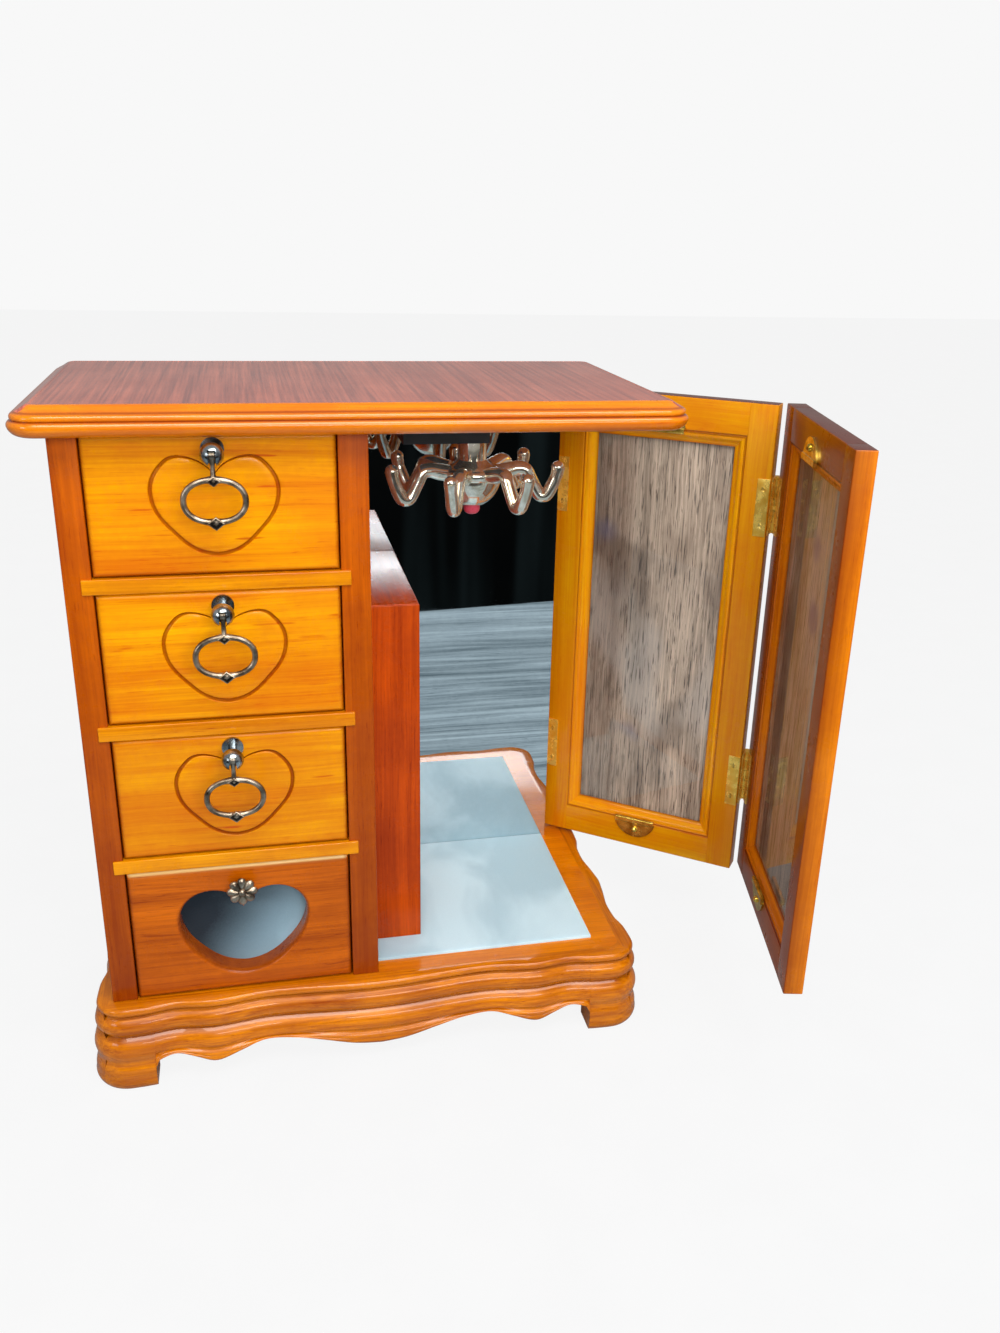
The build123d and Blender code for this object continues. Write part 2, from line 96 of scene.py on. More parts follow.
def bow(start, middle, end, count):
    """Arc of a circle through three points: its centre is where their bisectors meet."""
    (ax, ay), (bx, by), (cx, cy) = start, middle, end
    d = 2 * (ax * (by - cy) + bx * (cy - ay) + cx * (ay - by))
    ux = ((ax ** 2 + ay ** 2) * (by - cy) + (bx ** 2 + by ** 2) * (cy - ay)
          + (cx ** 2 + cy ** 2) * (ay - by)) / d
    uy = ((ax ** 2 + ay ** 2) * (cx - bx) + (bx ** 2 + by ** 2) * (ax - cx)
          + (cx ** 2 + cy ** 2) * (bx - ax)) / d
    a0, a1, a2 = (math.atan2(y - uy, x - ux) for x, y in (start, middle, end))
    turn = 2 * math.pi
    if (a1 - a0) % turn < (a2 - a0) % turn:
        sweep = (a2 - a0) % turn
    else:
        sweep = -((a0 - a2) % turn)
    t = a0 + sweep * np.linspace(0, 1, count)
    radius = math.hypot(ax - ux, ay - uy)
    return np.stack([ux + radius * np.cos(t), uy + radius * np.sin(t)], -1)


def joined(*runs):
    """Polylines end to end, without the doubled points."""
    points = np.vstack([np.atleast_2d(np.asarray(run, float)) for run in runs])
    keep = np.ones(len(points), bool)
    keep[1:] = np.linalg.norm(np.diff(points, axis=0), axis=1) > 1e-6
    return points[keep]


def closing(ring):
    """Fan from a ring of points to their mean."""
    return np.stack([ring, np.broadcast_to(ring.mean(0), ring.shape)])


def carried(section, origins, outward, upward):
    """Section points (a, b) at every station: origin + a * outward + b * upward."""
    a, b = section[..., 0:1], section[..., 1:2]
    return origins[:, None] + a * outward[:, None] + b * upward[:, None]


def capped(rows):
    """Rows of points, each a ring without its doubled point, with a fan over each end."""
    rows = np.concatenate([rows, rows[:, :1]], 1)
    return [rows, closing(rows[0]), closing(rows[-1])]


def solid_sweep(section, origins, outward, upward):
    """A closed section carried along stations, with a fan over each end."""
    return capped(carried(section, origins, outward, upward))


def tube(path, radius, sides):
    """A round bar along a path in one plane: a circle across the tangent at each point."""
    path = np.asarray(path, float)
    tangent = np.gradient(path, axis=0)
    tangent /= np.linalg.norm(tangent, axis=1, keepdims=True)
    normal = np.linalg.svd(path - path.mean(0))[2][2]
    side = np.cross(tangent, normal)
    angle = np.linspace(0, 2 * np.pi, sides + 1)
    radius = np.broadcast_to(np.asarray(radius, float), (len(path),))[:, None, None]
    rows = path[:, None] + radius * (np.cos(angle)[None, :, None] * side[:, None]
                                     + np.sin(angle)[None, :, None] * normal)
    return [rows, closing(rows[0]), closing(rows[-1])]


def lathe(profile, centre, axis=(0, 0, 1), sides=48):
    """A profile of (radius, height) turned about an axis through centre."""
    axis = np.asarray(axis, float) / np.linalg.norm(axis)
    first = np.cross(axis, (1, 0, 0) if abs(axis[0]) < 0.9 else (0, 1, 0))
    first /= np.linalg.norm(first)
    second = np.cross(axis, first)
    angle = np.linspace(0, 2 * np.pi, sides + 1)
    round_ = np.cos(angle)[:, None] * first + np.sin(angle)[:, None] * second
    p = np.asarray(profile, float)
    return [np.asarray(centre, float) + p[:, None, :1] * round_[None] + p[:, None, 1:] * axis]


def ball(centre, radius, sides):
    """A sphere: the radius times every direction, each given by its angle from straight up and
    its angle round."""
    polar = np.linspace(0, np.pi, sides // 2 + 1)[:, None]
    angle = np.linspace(0, 2 * np.pi, sides + 1)[None]
    unit = np.stack([np.sin(polar) * np.cos(angle), np.sin(polar) * np.sin(angle),
                     np.cos(polar) * np.ones_like(angle)], -1)
    return [np.asarray(centre, float) + radius * unit]


def eased_board(low, high, ease):
    """A board whose outer points are pulled to a distance of ease from the board shrunk by it."""
    low, high = np.asarray(low, float), np.asarray(high, float)
    round_ = ease * np.array([0, 0.3, 0.65, 1.0])
    steps = [np.unique([low[k] + round_, high[k] - round_]) for k in range(3)]
    patches = []
    for k in range(3):
        i, j = [n for n in range(3) if n != k]
        a, b = np.meshgrid(steps[i], steps[j], indexing="ij")
        for side in (low[k], high[k]):
            p = np.zeros(a.shape + (3,))
            p[..., i], p[..., j], p[..., k] = a, b, side
            core = np.clip(p, low + ease, high - ease)
            away = p - core
            length = np.linalg.norm(away, axis=-1, keepdims=True)
            patches.append(core + ease * away / np.maximum(length, 1e-9))
    return patches


def turned(points, axis, degrees):
    """Points rotated about an upright axis."""
    c, s = math.cos(math.radians(degrees)), math.sin(math.radians(degrees))
    p = np.asarray(points, float) - axis
    return np.stack([c * p[..., 0] - s * p[..., 1], s * p[..., 0] + c * p[..., 1], p[..., 2]],
                    -1) + axis


def on_side_door(p):
    """(along, depth, height) on the side door to where that door rests."""
    p = np.asarray(p, float)
    q = np.stack([case_width - door_thickness + p[..., 1], case_depth - p[..., 0],
                  door_bottom + p[..., 2]], -1)
    return turned(q, side_axis, side_open)


def on_front_door(p):
    """(along, depth, height) on the front door to where it rests, behind the side door's turn."""
    p = np.asarray(p, float)
    q = np.stack([case_width - p[..., 0], door_thickness - p[..., 1], door_bottom + p[..., 2]], -1)
    return turned(turned(q, front_axis, front_open), side_axis, side_open)


# ---- making a piece ----

def piece(name, patches, body, material, stands_for=(), along=(1, 0, 0), across=(0, 0, 1),
          offset=0.0, sharp=32, painted_light_and_toning=None):
    """Patches of points become one closed mesh, with the grain's own coordinates kept on it: how
    far a point is along the grain, across it and through it, from a start that offset moves so that
    no two boards match. The last argument, a function of the points in millimetres, gives painted
    light and toning: 1 for full painted shade on wood and full toning on metal, 0 for none, and -1
    for a painted highlight on an edge."""
    verts, faces, start = [], [], 0
    for grid in patches:
        rows, cols = grid.shape[:2]
        verts.append(grid.reshape(-1, 3))
        index = start + np.arange(rows * cols).reshape(rows, cols)
        faces.append(np.stack([index[:-1, :-1], index[:-1, 1:], index[1:, 1:], index[1:, :-1]],
                              -1).reshape(-1, 4))
        start += rows * cols
    mesh = bpy.data.meshes.new(name)
    mesh.from_pydata((np.vstack(verts) * MM).tolist(), [], np.vstack(faces).tolist())
    work = bmesh.new()
    work.from_mesh(mesh)
    bmesh.ops.remove_doubles(work, verts=work.verts, dist=weld)
    bmesh.ops.dissolve_degenerate(work, edges=work.edges, dist=sliver)
    bmesh.ops.recalc_face_normals(work, faces=work.faces)
    work.to_mesh(mesh)
    work.free()
    mesh.polygons.foreach_set("use_smooth", np.ones(len(mesh.polygons), bool))
    mesh.set_sharp_from_angle(angle=math.radians(sharp))
    points = np.empty(len(mesh.vertices) * 3, np.float32)
    mesh.vertices.foreach_get("co", points)
    points = points.reshape(-1, 3)
    axes = np.array([along, across, np.cross(along, across)], float)
    grain = points @ axes.T + offset * np.array([1, 0.37, 0.71])
    store = mesh.attributes.new("grain", "FLOAT_VECTOR", "POINT")
    store.data.foreach_set("vector", grain.astype(np.float32).ravel())
    if painted_light_and_toning is not None:
        store = mesh.attributes.new("painted_light_and_toning", "FLOAT", "POINT")
        store.data.foreach_set("value", np.clip(painted_light_and_toning(points / MM), -1, 1).astype(np.float32))
    obj = bpy.data.objects.new(name, mesh)
    bpy.context.scene.collection.objects.link(obj)
    obj.data.materials.append(material)
    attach(obj, body)
    if stands_for:
        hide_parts(*stands_for)
    return obj


def dress(names, material):
    """Give CAD nodes a material."""
    for name in names:
        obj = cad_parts[name]
        obj.data.materials.clear()
        obj.data.materials.append(material)


# ---- shader parts ----

def rgb(r, g, b):
    """An sRGB colour of 0 to 255 in linear light."""
    c = np.array([r, g, b]) / 255.0
    return tuple(np.where(c <= 0.04045, c / 12.92, ((c + 0.055) / 1.055) ** 2.4)) + (1.0,)


def feed(tree, node, inputs):
    """A node with its inputs given as values, or as the sockets that feed them."""
    for key, value in inputs.items():
        if isinstance(value, bpy.types.NodeSocket):
            tree.links.new(value, node.inputs[key])
        else:
            node.inputs[key].default_value = value
    return node


def add(tree, kind, inputs=None, **settings):
    """A new node with its settings and its inputs."""
    node = tree.nodes.new("ShaderNode" + kind)
    for key, value in settings.items():
        setattr(node, key, value)
    return feed(tree, node, inputs or {})


def math_node(tree, operation, a, b):
    """One operation on two numbers."""
    return add(tree, "Math", {0: a, 1: b}, operation=operation).outputs[0]


def ranged(tree, value, low, high, out_low=0.0, out_high=1.0, kind="SMOOTHSTEP"):
    """A value carried from one range to another, with a soft start and end unless LINEAR."""
    return add(tree, "MapRange", {"Value": value, "From Min": low, "From Max": high,
                                  "To Min": out_low, "To Max": out_high},
               interpolation_type=kind).outputs[0]


def mixed(tree, factor, a, b):
    """Colour a where the factor is 0 and colour b where it is 1."""
    return add(tree, "Mix", {0: factor, 6: a, 7: b}, data_type="RGBA").outputs[2]


def scaled(tree, vector, factors):
    """A vector with each of its parts multiplied."""
    return add(tree, "VectorMath", {0: vector, 1: factors}, operation="MULTIPLY").outputs[0]


def noise(tree, vector, factors, detail=3.0, distortion=0.0, roughness=0.5):
    """Noise of 0 to 1 with so many lumps to a metre along each axis."""
    return add(tree, "TexNoise", {"Vector": scaled(tree, vector, factors), "Scale": 1.0,
                                  "Detail": detail, "Roughness": roughness,
                                  "Distortion": distortion}).outputs["Fac"]


def group(name, inputs, outputs):
    """An empty shader group with named sockets."""
    tree = bpy.data.node_groups.new(name, "ShaderNodeTree")
    for label, kind, value in inputs:
        socket = tree.interface.new_socket(label, in_out="INPUT", socket_type="NodeSocket" + kind)
        if value is not None:
            socket.default_value = value
    for label, kind in outputs:
        tree.interface.new_socket(label, in_out="OUTPUT", socket_type="NodeSocket" + kind)
    return tree, tree.nodes.new("NodeGroupInput").outputs, tree.nodes.new("NodeGroupOutput").inputs


def make_wood_figure():
    """Grain along the first axis: wide bands, fine streaks, short pores and rare dark flecks."""
    tree, given, out = group(
        "wood_figure",
        [("Vector", "Vector", None), ("Bands", "Float", 0.6), ("Streaks", "Float", 0.6),
         ("Pores", "Float", 0.5), ("Flecks", "Float", 0.0), ("Waver", "Float", 1.0)],
        [("Tone", "Float"), ("Height", "Float")])
    v = given["Vector"]
    warp = math_node(tree, "MULTIPLY", noise(tree, v, (9, 30, 30), 2.0), given["Waver"])
    shift = add(tree, "CombineXYZ", {"Y": math_node(tree, "MULTIPLY", warp, 0.006),
                                     "Z": math_node(tree, "MULTIPLY", warp, 0.004)}).outputs[0]
    bent = add(tree, "VectorMath", {0: v, 1: shift}, operation="ADD").outputs[0]
    bands = noise(tree, bent, (5, 110, 110), 3.0, 0.4)
    streaks = noise(tree, bent, (14, 900, 900), 3.0, 0.0, 0.6)
    pores = ranged(tree, noise(tree, bent, (110, 2600, 2600), 2.0), 0.62, 0.72)
    flecks = ranged(tree, noise(tree, bent, (38, 420, 420), 1.0), 0.70, 0.76)
    tone = math_node(tree, "ADD", 0.55, math_node(
        tree, "MULTIPLY", math_node(tree, "SUBTRACT", bands, 0.5), given["Bands"]))
    tone = math_node(tree, "ADD", tone, math_node(
        tree, "MULTIPLY", math_node(tree, "SUBTRACT", streaks, 0.5), given["Streaks"]))
    tone = math_node(tree, "SUBTRACT", tone, math_node(tree, "MULTIPLY", pores, given["Pores"]))
    tone = math_node(tree, "SUBTRACT", tone, math_node(tree, "MULTIPLY", flecks, given["Flecks"]))
    tree.links.new(add(tree, "Clamp", {"Value": tone}).outputs[0], out["Tone"])
    tree.links.new(math_node(tree, "SUBTRACT", streaks, pores), out["Height"])
    return tree


def make_handling():
    """Slow uneven patches of wear and touch: a mask and a roughness that drift over the piece."""
    tree, given, out = group("handling", [("Vector", "Vector", None), ("Low", "Float", 0.2),
                                          ("High", "Float", 0.35)],
                             [("Mask", "Float"), ("Roughness", "Float")])
    slow = noise(tree, given["Vector"], (28, 28, 28), 4.0)
    fine = noise(tree, given["Vector"], (400, 400, 400), 2.0)
    both = math_node(tree, "ADD", math_node(tree, "MULTIPLY", slow, 0.8),
                     math_node(tree, "MULTIPLY", fine, 0.2))
    tree.links.new(ranged(tree, both, 0.35, 0.65), out["Mask"])
    tree.links.new(ranged(tree, both, 0.3, 0.7, given["Low"], given["High"], "LINEAR"),
                   out["Roughness"])
    return tree


def make_pile():
    """Short pile: fine speckle, and soft brushed patches."""
    tree, given, out = group("pile", [("Vector", "Vector", None)],
                             [("Fleck", "Float"), ("Brushed", "Float"), ("Height", "Float")])
    fleck = noise(tree, given["Vector"], (1500, 1500, 1500), 2.0, 0.0, 0.7)
    brushed = noise(tree, given["Vector"], (22, 14, 22), 3.0, 0.8)
    tree.links.new(fleck, out["Fleck"])
    tree.links.new(ranged(tree, brushed, 0.35, 0.68), out["Brushed"])
    tree.links.new(fleck, out["Height"])
    return tree


WOOD = make_wood_figure()
HANDLING = make_handling()
PILE = make_pile()


def placed(tree, group_tree, inputs):
    """A shared group put into a tree, given as its outputs."""
    node = tree.nodes.new("ShaderNodeGroup")
    node.node_tree = group_tree
    return feed(tree, node, inputs).outputs


def shown(tree, result):
    """A shader's result made the material's surface, in place of any before it."""
    outputs = [node for node in tree.nodes if node.type == "OUTPUT_MATERIAL"]
    out = outputs[0] if outputs else add(tree, "OutputMaterial")
    tree.links.new(result, out.inputs["Surface"])


def surface(name, **constants):
    """A material with one Principled shader and its constant sockets set."""
    material = bpy.data.materials.new(name)
    material.use_nodes = True
    tree = material.node_tree
    tree.nodes.clear()
    shader = add(tree, "BsdfPrincipled")
    for key, value in constants.items():
        shader.inputs[key.replace("_", " ")].default_value = value
    shown(tree, shader.outputs[0])
    return material, tree, shader


def own_grain(tree):
    """A board's own grain coordinates."""
    return add(tree, "Attribute", attribute_name="grain").outputs["Vector"]


def object_place(tree):
    """The place of a point in its object."""
    return add(tree, "TexCoord").outputs["Object"]


def lacquered(name, dark, light, bands=0.6, streaks=0.6, pores=0.3, flecks=0.0, low=0.22,
              high=0.34, coat=0.8, coat_rough=0.07, bump=0.12, vector=own_grain,
              ends=None, waver=1.0):
    """Stained wood under a clear lacquer: the grain picks between a dark and a light stained tone,
    and both go deeper and redder in painted shade, paler in a painted highlight on an edge, and
    dark above a height given as ends."""
    material, tree, shader = surface(name, Coat_Roughness=coat_rough, Specular_IOR_Level=0.15)
    v = vector(tree)
    figure = placed(tree, WOOD, {"Vector": v, "Bands": bands, "Streaks": streaks,
                                 "Pores": pores, "Flecks": flecks, "Waver": waver})
    touch = placed(tree, HANDLING, {"Vector": v, "Low": low, "High": high})
    colour = mixed(tree, figure["Tone"], rgb(*dark), rgb(*light))
    patches = math_node(tree, "MULTIPLY", touch["Mask"], 0.35)
    colour = mixed(tree, patches, colour, rgb(*dark))
    # painted shade: deeper and redder where the point attribute is above 0
    painted_light = add(tree, "Attribute", attribute_name="painted_light_and_toning").outputs["Fac"]
    deep = tuple(int(c * k) for c, k in zip(dark, (0.62, 0.34, 0.5)))
    colour = mixed(tree, painted_light, colour, rgb(*deep))
    # painted highlight: pale yellow where the point attribute is below 0
    painted_highlight = ranged(tree, painted_light, 0.0, -1.0, kind="LINEAR")
    colour = mixed(tree, painted_highlight, colour, rgb(255, 226, 150))
    if ends:
        height = add(tree, "SeparateXYZ", {0: object_place(tree)}).outputs["Z"]
        top = ranged(tree, height, ends - 0.0001, ends, kind="LINEAR")
        colour = mixed(tree, top, colour, rgb(96, 44, 34))
    tree.links.new(colour, shader.inputs["Base Color"])
    tree.links.new(touch["Roughness"], shader.inputs["Roughness"])
    shader.inputs["Coat Weight"].default_value = coat
    relief = add(tree, "Bump", {"Strength": bump, "Distance": 0.0002,
                                "Height": figure["Height"]})
    tree.links.new(relief.outputs[0], shader.inputs["Normal"])
    return material


def metal(name, dark, light, low, high, pure=1.0):
    """Metal with darker toning in its uneven patches, and nearly black where the point attribute is
    set: toning kept in the plates' sunk fields, and painted shade in the screw slots.
    """
    material, tree, shader = surface(name, Metallic=pure)
    close = scaled(tree, object_place(tree), (8, 8, 8))
    touch = placed(tree, HANDLING, {"Vector": close, "Low": low, "High": high})
    kept = add(tree, "Attribute", attribute_name="painted_light_and_toning").outputs["Fac"]
    colour = mixed(tree, touch["Mask"], rgb(*dark), rgb(*light))
    tree.links.new(mixed(tree, kept, colour, rgb(34, 32, 30)), shader.inputs["Base Color"])
    tree.links.new(touch["Roughness"], shader.inputs["Roughness"])
    return material


def velvet(name, dark, light, shade_sweep=None):
    """Flocked cloth: brushed patches of two tones, a fine fleck, and a sheen. Where given, a
    painted shade goes from dark to light between two values of x - 0.7 z, for the shade of the
    window's wall on the cloth."""
    material, tree, shader = surface(name, Roughness=0.9, Sheen_Weight=0.6, Sheen_Roughness=0.4)
    v = object_place(tree)
    pile = placed(tree, PILE, {"Vector": v})
    tone = math_node(tree, "ADD", math_node(tree, "MULTIPLY", pile["Brushed"], 0.7),
                     math_node(tree, "MULTIPLY", pile["Fleck"], 0.3))
    # painted shade: dark to light across the cloth, for the window wall's shade
    if shade_sweep:
        place = add(tree, "SeparateXYZ", {0: v}).outputs
        across = math_node(tree, "SUBTRACT", place["X"],
                           math_node(tree, "MULTIPLY", place["Z"], 0.7))
        painted_shade_ramp = ranged(tree, across, *shade_sweep, -0.1, 0.85)
        tone = math_node(tree, "ADD", painted_shade_ramp, math_node(tree, "MULTIPLY", tone, 0.3))
        tone = add(tree, "Clamp", {"Value": tone}).outputs[0]
    tree.links.new(mixed(tree, tone, rgb(*dark), rgb(*light)), shader.inputs["Base Color"])
    relief = add(tree, "Bump", {"Strength": 0.35, "Distance": 0.0003, "Height": pile["Height"]})
    tree.links.new(relief.outputs[0], shader.inputs["Normal"])
    return material


def moulded(name, dark, light, low, high):
    """Moulded plastic: nearly even colour with a slight drift and a fine skin."""
    material, tree, shader = surface(name)
    touch = placed(tree, HANDLING, {"Vector": object_place(tree), "Low": low, "High": high})
    tree.links.new(mixed(tree, touch["Mask"], rgb(*dark), rgb(*light)),
                   shader.inputs["Base Color"])
    tree.links.new(touch["Roughness"], shader.inputs["Roughness"])
    return material


def clear_pane(name):
    """Thin glass that lets lamp light straight through."""
    material, tree, shader = surface(name, Roughness=0.02, Transmission_Weight=1.0, IOR=1.45)
    shader.inputs["Base Color"].default_value = (0.97, 0.98, 0.98, 1)
    path = add(tree, "LightPath").outputs
    open_ = add(tree, "BsdfTransparent", {"Color": (0.95, 0.96, 0.96, 1)})
    see = math_node(tree, "MAXIMUM", path["Is Shadow Ray"], path["Is Diffuse Ray"])
    blend = add(tree, "MixShader", {0: see, 1: shader.outputs[0], 2: open_.outputs[0]})
    shown(tree, blend.outputs[0])
    return material


def silvered(name):
    """Mirror glass with the faintest haze in uneven patches."""
    material, tree, shader = surface(name, Metallic=1.0)
    haze = placed(tree, HANDLING, {"Vector": object_place(tree), "Low": 0.0, "High": 0.03})
    tree.links.new(mixed(tree, haze["Mask"], rgb(214, 222, 226), rgb(226, 233, 236)),
                   shader.inputs["Base Color"])
    tree.links.new(haze["Roughness"], shader.inputs["Roughness"])
    return material


def figured_panel(name, dark, light, mark):
    """Greyed veneer with long dark pores, and a faint printed spray of round petals."""
    material, tree, shader = surface(name, Coat_Weight=0.1, Coat_Roughness=0.3)
    v = own_grain(tree)
    figure = placed(tree, WOOD, {"Vector": v, "Bands": 1.1, "Streaks": 1.5, "Pores": 0.9})
    colour = mixed(tree, figure["Tone"], rgb(*dark), rgb(*light))
    cloudy = ranged(tree, noise(tree, v, (16, 26, 0), 3.0, 0.3), 0.50, 0.66, 0.0, 0.6)
    colour = mixed(tree, cloudy, colour, rgb(*dark))
    hazy = ranged(tree, noise(tree, v, (9, 21, 5), 2.0, 0.5), 0.48, 0.66, 0.0, 0.45)
    colour = mixed(tree, hazy, colour, rgb(214, 206, 196))
    dashes = ranged(tree, noise(tree, v, (75, 1500, 20), 2.0), 0.57, 0.66, 0.0, 0.75)
    colour = mixed(tree, dashes, colour, rgb(46, 36, 30))
    cells = add(tree, "TexVoronoi", {"Vector": scaled(tree, v, (28, 28, 0)), "Scale": 1.0,
                                     "Randomness": 0.9})
    spot = ranged(tree, cells.outputs["Distance"], 0.10, 0.30, 0.7, 0.0)
    where = ranged(tree, noise(tree, v, (14, 14, 0), 1.0), 0.5, 0.56)
    faint = math_node(tree, "MULTIPLY", spot, where)
    tree.links.new(mixed(tree, faint, colour, rgb(*mark)), shader.inputs["Base Color"])
    shader.inputs["Roughness"].default_value = 0.5
    relief = add(tree, "Bump", {"Strength": 0.3, "Distance": 0.0003, "Height": figure["Height"]})
    tree.links.new(relief.outputs[0], shader.inputs["Normal"])
    return material


upper_drawer = lacquered("upper_drawer_lacquer", (202, 84, 0), (252, 178, 0), 1.2, 1.1, 0.3, 0.5,
                         coat=0.15)
lower_drawer = lacquered("lower_drawer_lacquer", (132, 48, 0), (222, 112, 2), 1.0, 1.0, 0.4, 0.3,
                         coat=0.2)
case_lacquer = lacquered("case_lacquer", (134, 40, 0), (224, 110, 0), 0.9, 0.9, 0.3, coat=0.2)
rail_lacquer = lacquered("rail_lacquer", (176, 76, 0), (250, 168, 0), 1.0, 1.0, 0.3, coat=0.25)
step_lacquer = lacquered("step_box_lacquer", (120, 26, 0), (216, 84, 2), 0.9, 0.9, 0.3, coat=0.12,
                         coat_rough=0.2, bump=0.3)
moulding_lacquer = lacquered("moulding_lacquer", (196, 82, 0), (250, 150, 0), 0.9, 0.8, 0.2,
                             coat=0.8, coat_rough=0.1)
plinth_lacquer = lacquered("plinth_lacquer", (140, 50, 0), (250, 150, 0), 1.1, 1.1, 0.3, coat=0.6,
                           coat_rough=0.05)
top_lacquer = lacquered("top_lacquer", (150, 42, 28), (246, 122, 88), 0.9, 2.6, 0.5, low=0.16,
                        high=0.26, coat=1.0, coat_rough=0.14, bump=0.05, waver=0.1)
side_lacquer = lacquered("side_door_lacquer", (224, 108, 0), (255, 194, 8), 1.0, 1.0, 0.3, 0.3,
                         coat=0.3, ends=0.27785)
front_lacquer = lacquered("front_door_lacquer", (172, 72, 0), (252, 150, 10), 0.9, 0.9, 0.3,
                          coat=0.25, ends=0.27785)
back_lacquer = lacquered("back_lacquer", (110, 34, 4), (206, 92, 10), 0.7, 0.7, 0.5, coat=0.3)
board_lacquer = lacquered("board_lacquer", (176, 76, 0), (250, 150, 4), 0.9, 0.9, 0.3, coat=0.5,
                          vector=object_place)
bare_wood = lacquered("bare_drawer_wood", (196, 150, 92), (232, 196, 138), 0.5, 0.5, 0.3, coat=0.0,
                      low=0.5, high=0.65, vector=object_place)
veneer = figured_panel("door_veneer", (100, 80, 64), (236, 214, 190), (112, 118, 150))
mirror = silvered("silvered_mirror")
pane = clear_pane("clear_pane")
brass = metal("lacquered_brass", (190, 150, 40), (250, 220, 110), 0.14, 0.3, pure=0.9)
hinge_brass = metal("hinge_brass", (236, 180, 58), (255, 222, 112), 0.2, 0.32, pure=0.6)
pewter = metal("antique_pewter", (104, 90, 76), (190, 176, 158), 0.26, 0.4)
steel = metal("dull_steel", (96, 104, 110), (196, 204, 208), 0.12, 0.24)
chrome = metal("bright_chrome", (226, 218, 196), (254, 250, 236), 0.07, 0.15, pure=0.9)
black_plastic = moulded("black_plastic", (10, 10, 12), (26, 26, 30), 0.25, 0.4)
pink_plastic = moulded("pink_plastic", (214, 70, 92), (240, 110, 128), 0.25, 0.35)
pale_velvet = velvet("pale_blue_velvet", (160, 194, 208), (206, 234, 244))
# the blue cloth carries a painted shade ramp, dark on its left
blue_velvet = velvet("slate_blue_velvet", (8, 28, 42), (140, 172, 188), shade_sweep=(-0.012, 0.040))


# ---- mouldings ----

def plan_stations(parts):
    """Stations round the case: each a point with its outward direction. Parts are (centre, from
    angle, to angle, count) for a corner and (start, end, angle, count) for a straight."""
    origins, outward = [], []
    for part in parts:
        if np.ndim(part[1]) == 0:
            centre, first, last, count = part
            angle = np.radians(np.linspace(first, last, count))
            origins.append(np.tile(np.array([*centre, 0.0]), (count, 1)))
        else:
            start, end, heading, count = part
            share = np.linspace(0, 1, count)[:, None]
            origins.append(np.array([*start, 0.0]) * (1 - share) + np.array([*end, 0.0]) * share)
            angle = np.radians(np.full(count, heading))
        outward.append(np.stack([np.cos(angle), np.sin(angle), 0 * angle], -1))
    return np.vstack(origins), np.vstack(outward)


def corners(inset):
    """The corners of the case's plan, moved in on both sides."""
    left, front, right, back = inset, inset, case_width - inset, case_depth - inset
    return (left, front), (right, front), (right, back), (left, back)


def top_section():
    """The lid's edge from under the lid to its flat: a full round, a bead, a shallow cove and an
    arris."""
    z = case_top
    return joined([(2.0, z), (4.0, z)], bow((6.0, z), (10.7, z + 1.2), (11.8, z + 3.2), 10),
                  bow((11.8, z + 3.2), (11.65, z + 4.5), (10.5, z + 5.5), 7),
                  bow((10.3, z + 5.6), (10.6, z + 6.9), (9.5, z + 8.0), 9), [(9.1, z + 8.2)],
                  bow((8.8, z + 8.4), (7.3, z + 9.15), (5.8, z + 10.05), 8),
                  bow((5.6, z + 10.15), (5.0, z + 10.5), (4.2, overall_height), 6),
                  [(3.4, overall_height)])


def lid_quirks(p):
    """Painted shade in the two quirks of the lid's edge."""
    z = p[:, 2] - case_top
    return 0.9 * np.exp(-((z - 5.5) / 0.35) ** 2) + 0.7 * np.exp(-((z - 8.25) / 0.35) ** 2)


def lid():
    """The section carried right round, and the flat field closed inside it. The field's own
    finish also covers the cove and arris of the sides and back, mitred at the front corners."""
    inset, cove_points = -1.4, 15
    mitre, corner, long_run, short_run = 9, 14, 60, 30
    c = corners(inset)
    parts = [(c[0], 225, 270, mitre), (c[0], c[1], 270, long_run), (c[1], 270, 315, mitre),
             (c[1], 315, 360, mitre), (c[1], c[2], 0, short_run), (c[2], 0, 90, corner),
             (c[2], c[3], 90, long_run), (c[3], 90, 180, corner), (c[3], c[0], 180, short_run),
             (c[0], 180, 225, mitre)]
    origins, outward = plan_stations(parts)
    up = np.tile((0.0, 0.0, 1.0), (len(origins), 1))
    section = top_section()
    # the profile is drawn from the case's face, and the stations stand an inset inside it
    rows = carried(section + (inset, 0), origins, outward, up)
    rows = np.concatenate([rows, rows[:1]])
    edge = rows.transpose(1, 0, 2)
    under = edge[-1] - (0, 0, 1.2)
    piece("lid_moulding", [edge, closing(edge[0]), np.stack([edge[-1], under]), closing(under)],
          "case", moulding_lacquer, ("top_board",), offset=0.3, painted_light_and_toning=lid_quirks)
    flat = edge[-1] + (0, 0, -0.01)
    lower = flat - (0, 0, 0.9)
    piece("lid_field", [closing(flat), closing(lower), np.stack([flat, lower])], "case",
          top_lacquer, along=(0, 1, 0), across=(1, 0, 0), offset=0.8)
    first = mitre + long_run + mitre
    skin = section[-cove_points:] + (inset, 0)
    skin = np.vstack([skin + (0.05, 0.014), skin[::-1] - (0.6, 0.6)])
    piece("lid_side_cove", solid_sweep(skin, origins[first:], outward[first:], up[first:]), "case",
          top_lacquer, along=(0, 1, 0), across=(1, 0, 0), offset=0.8, sharp=50)


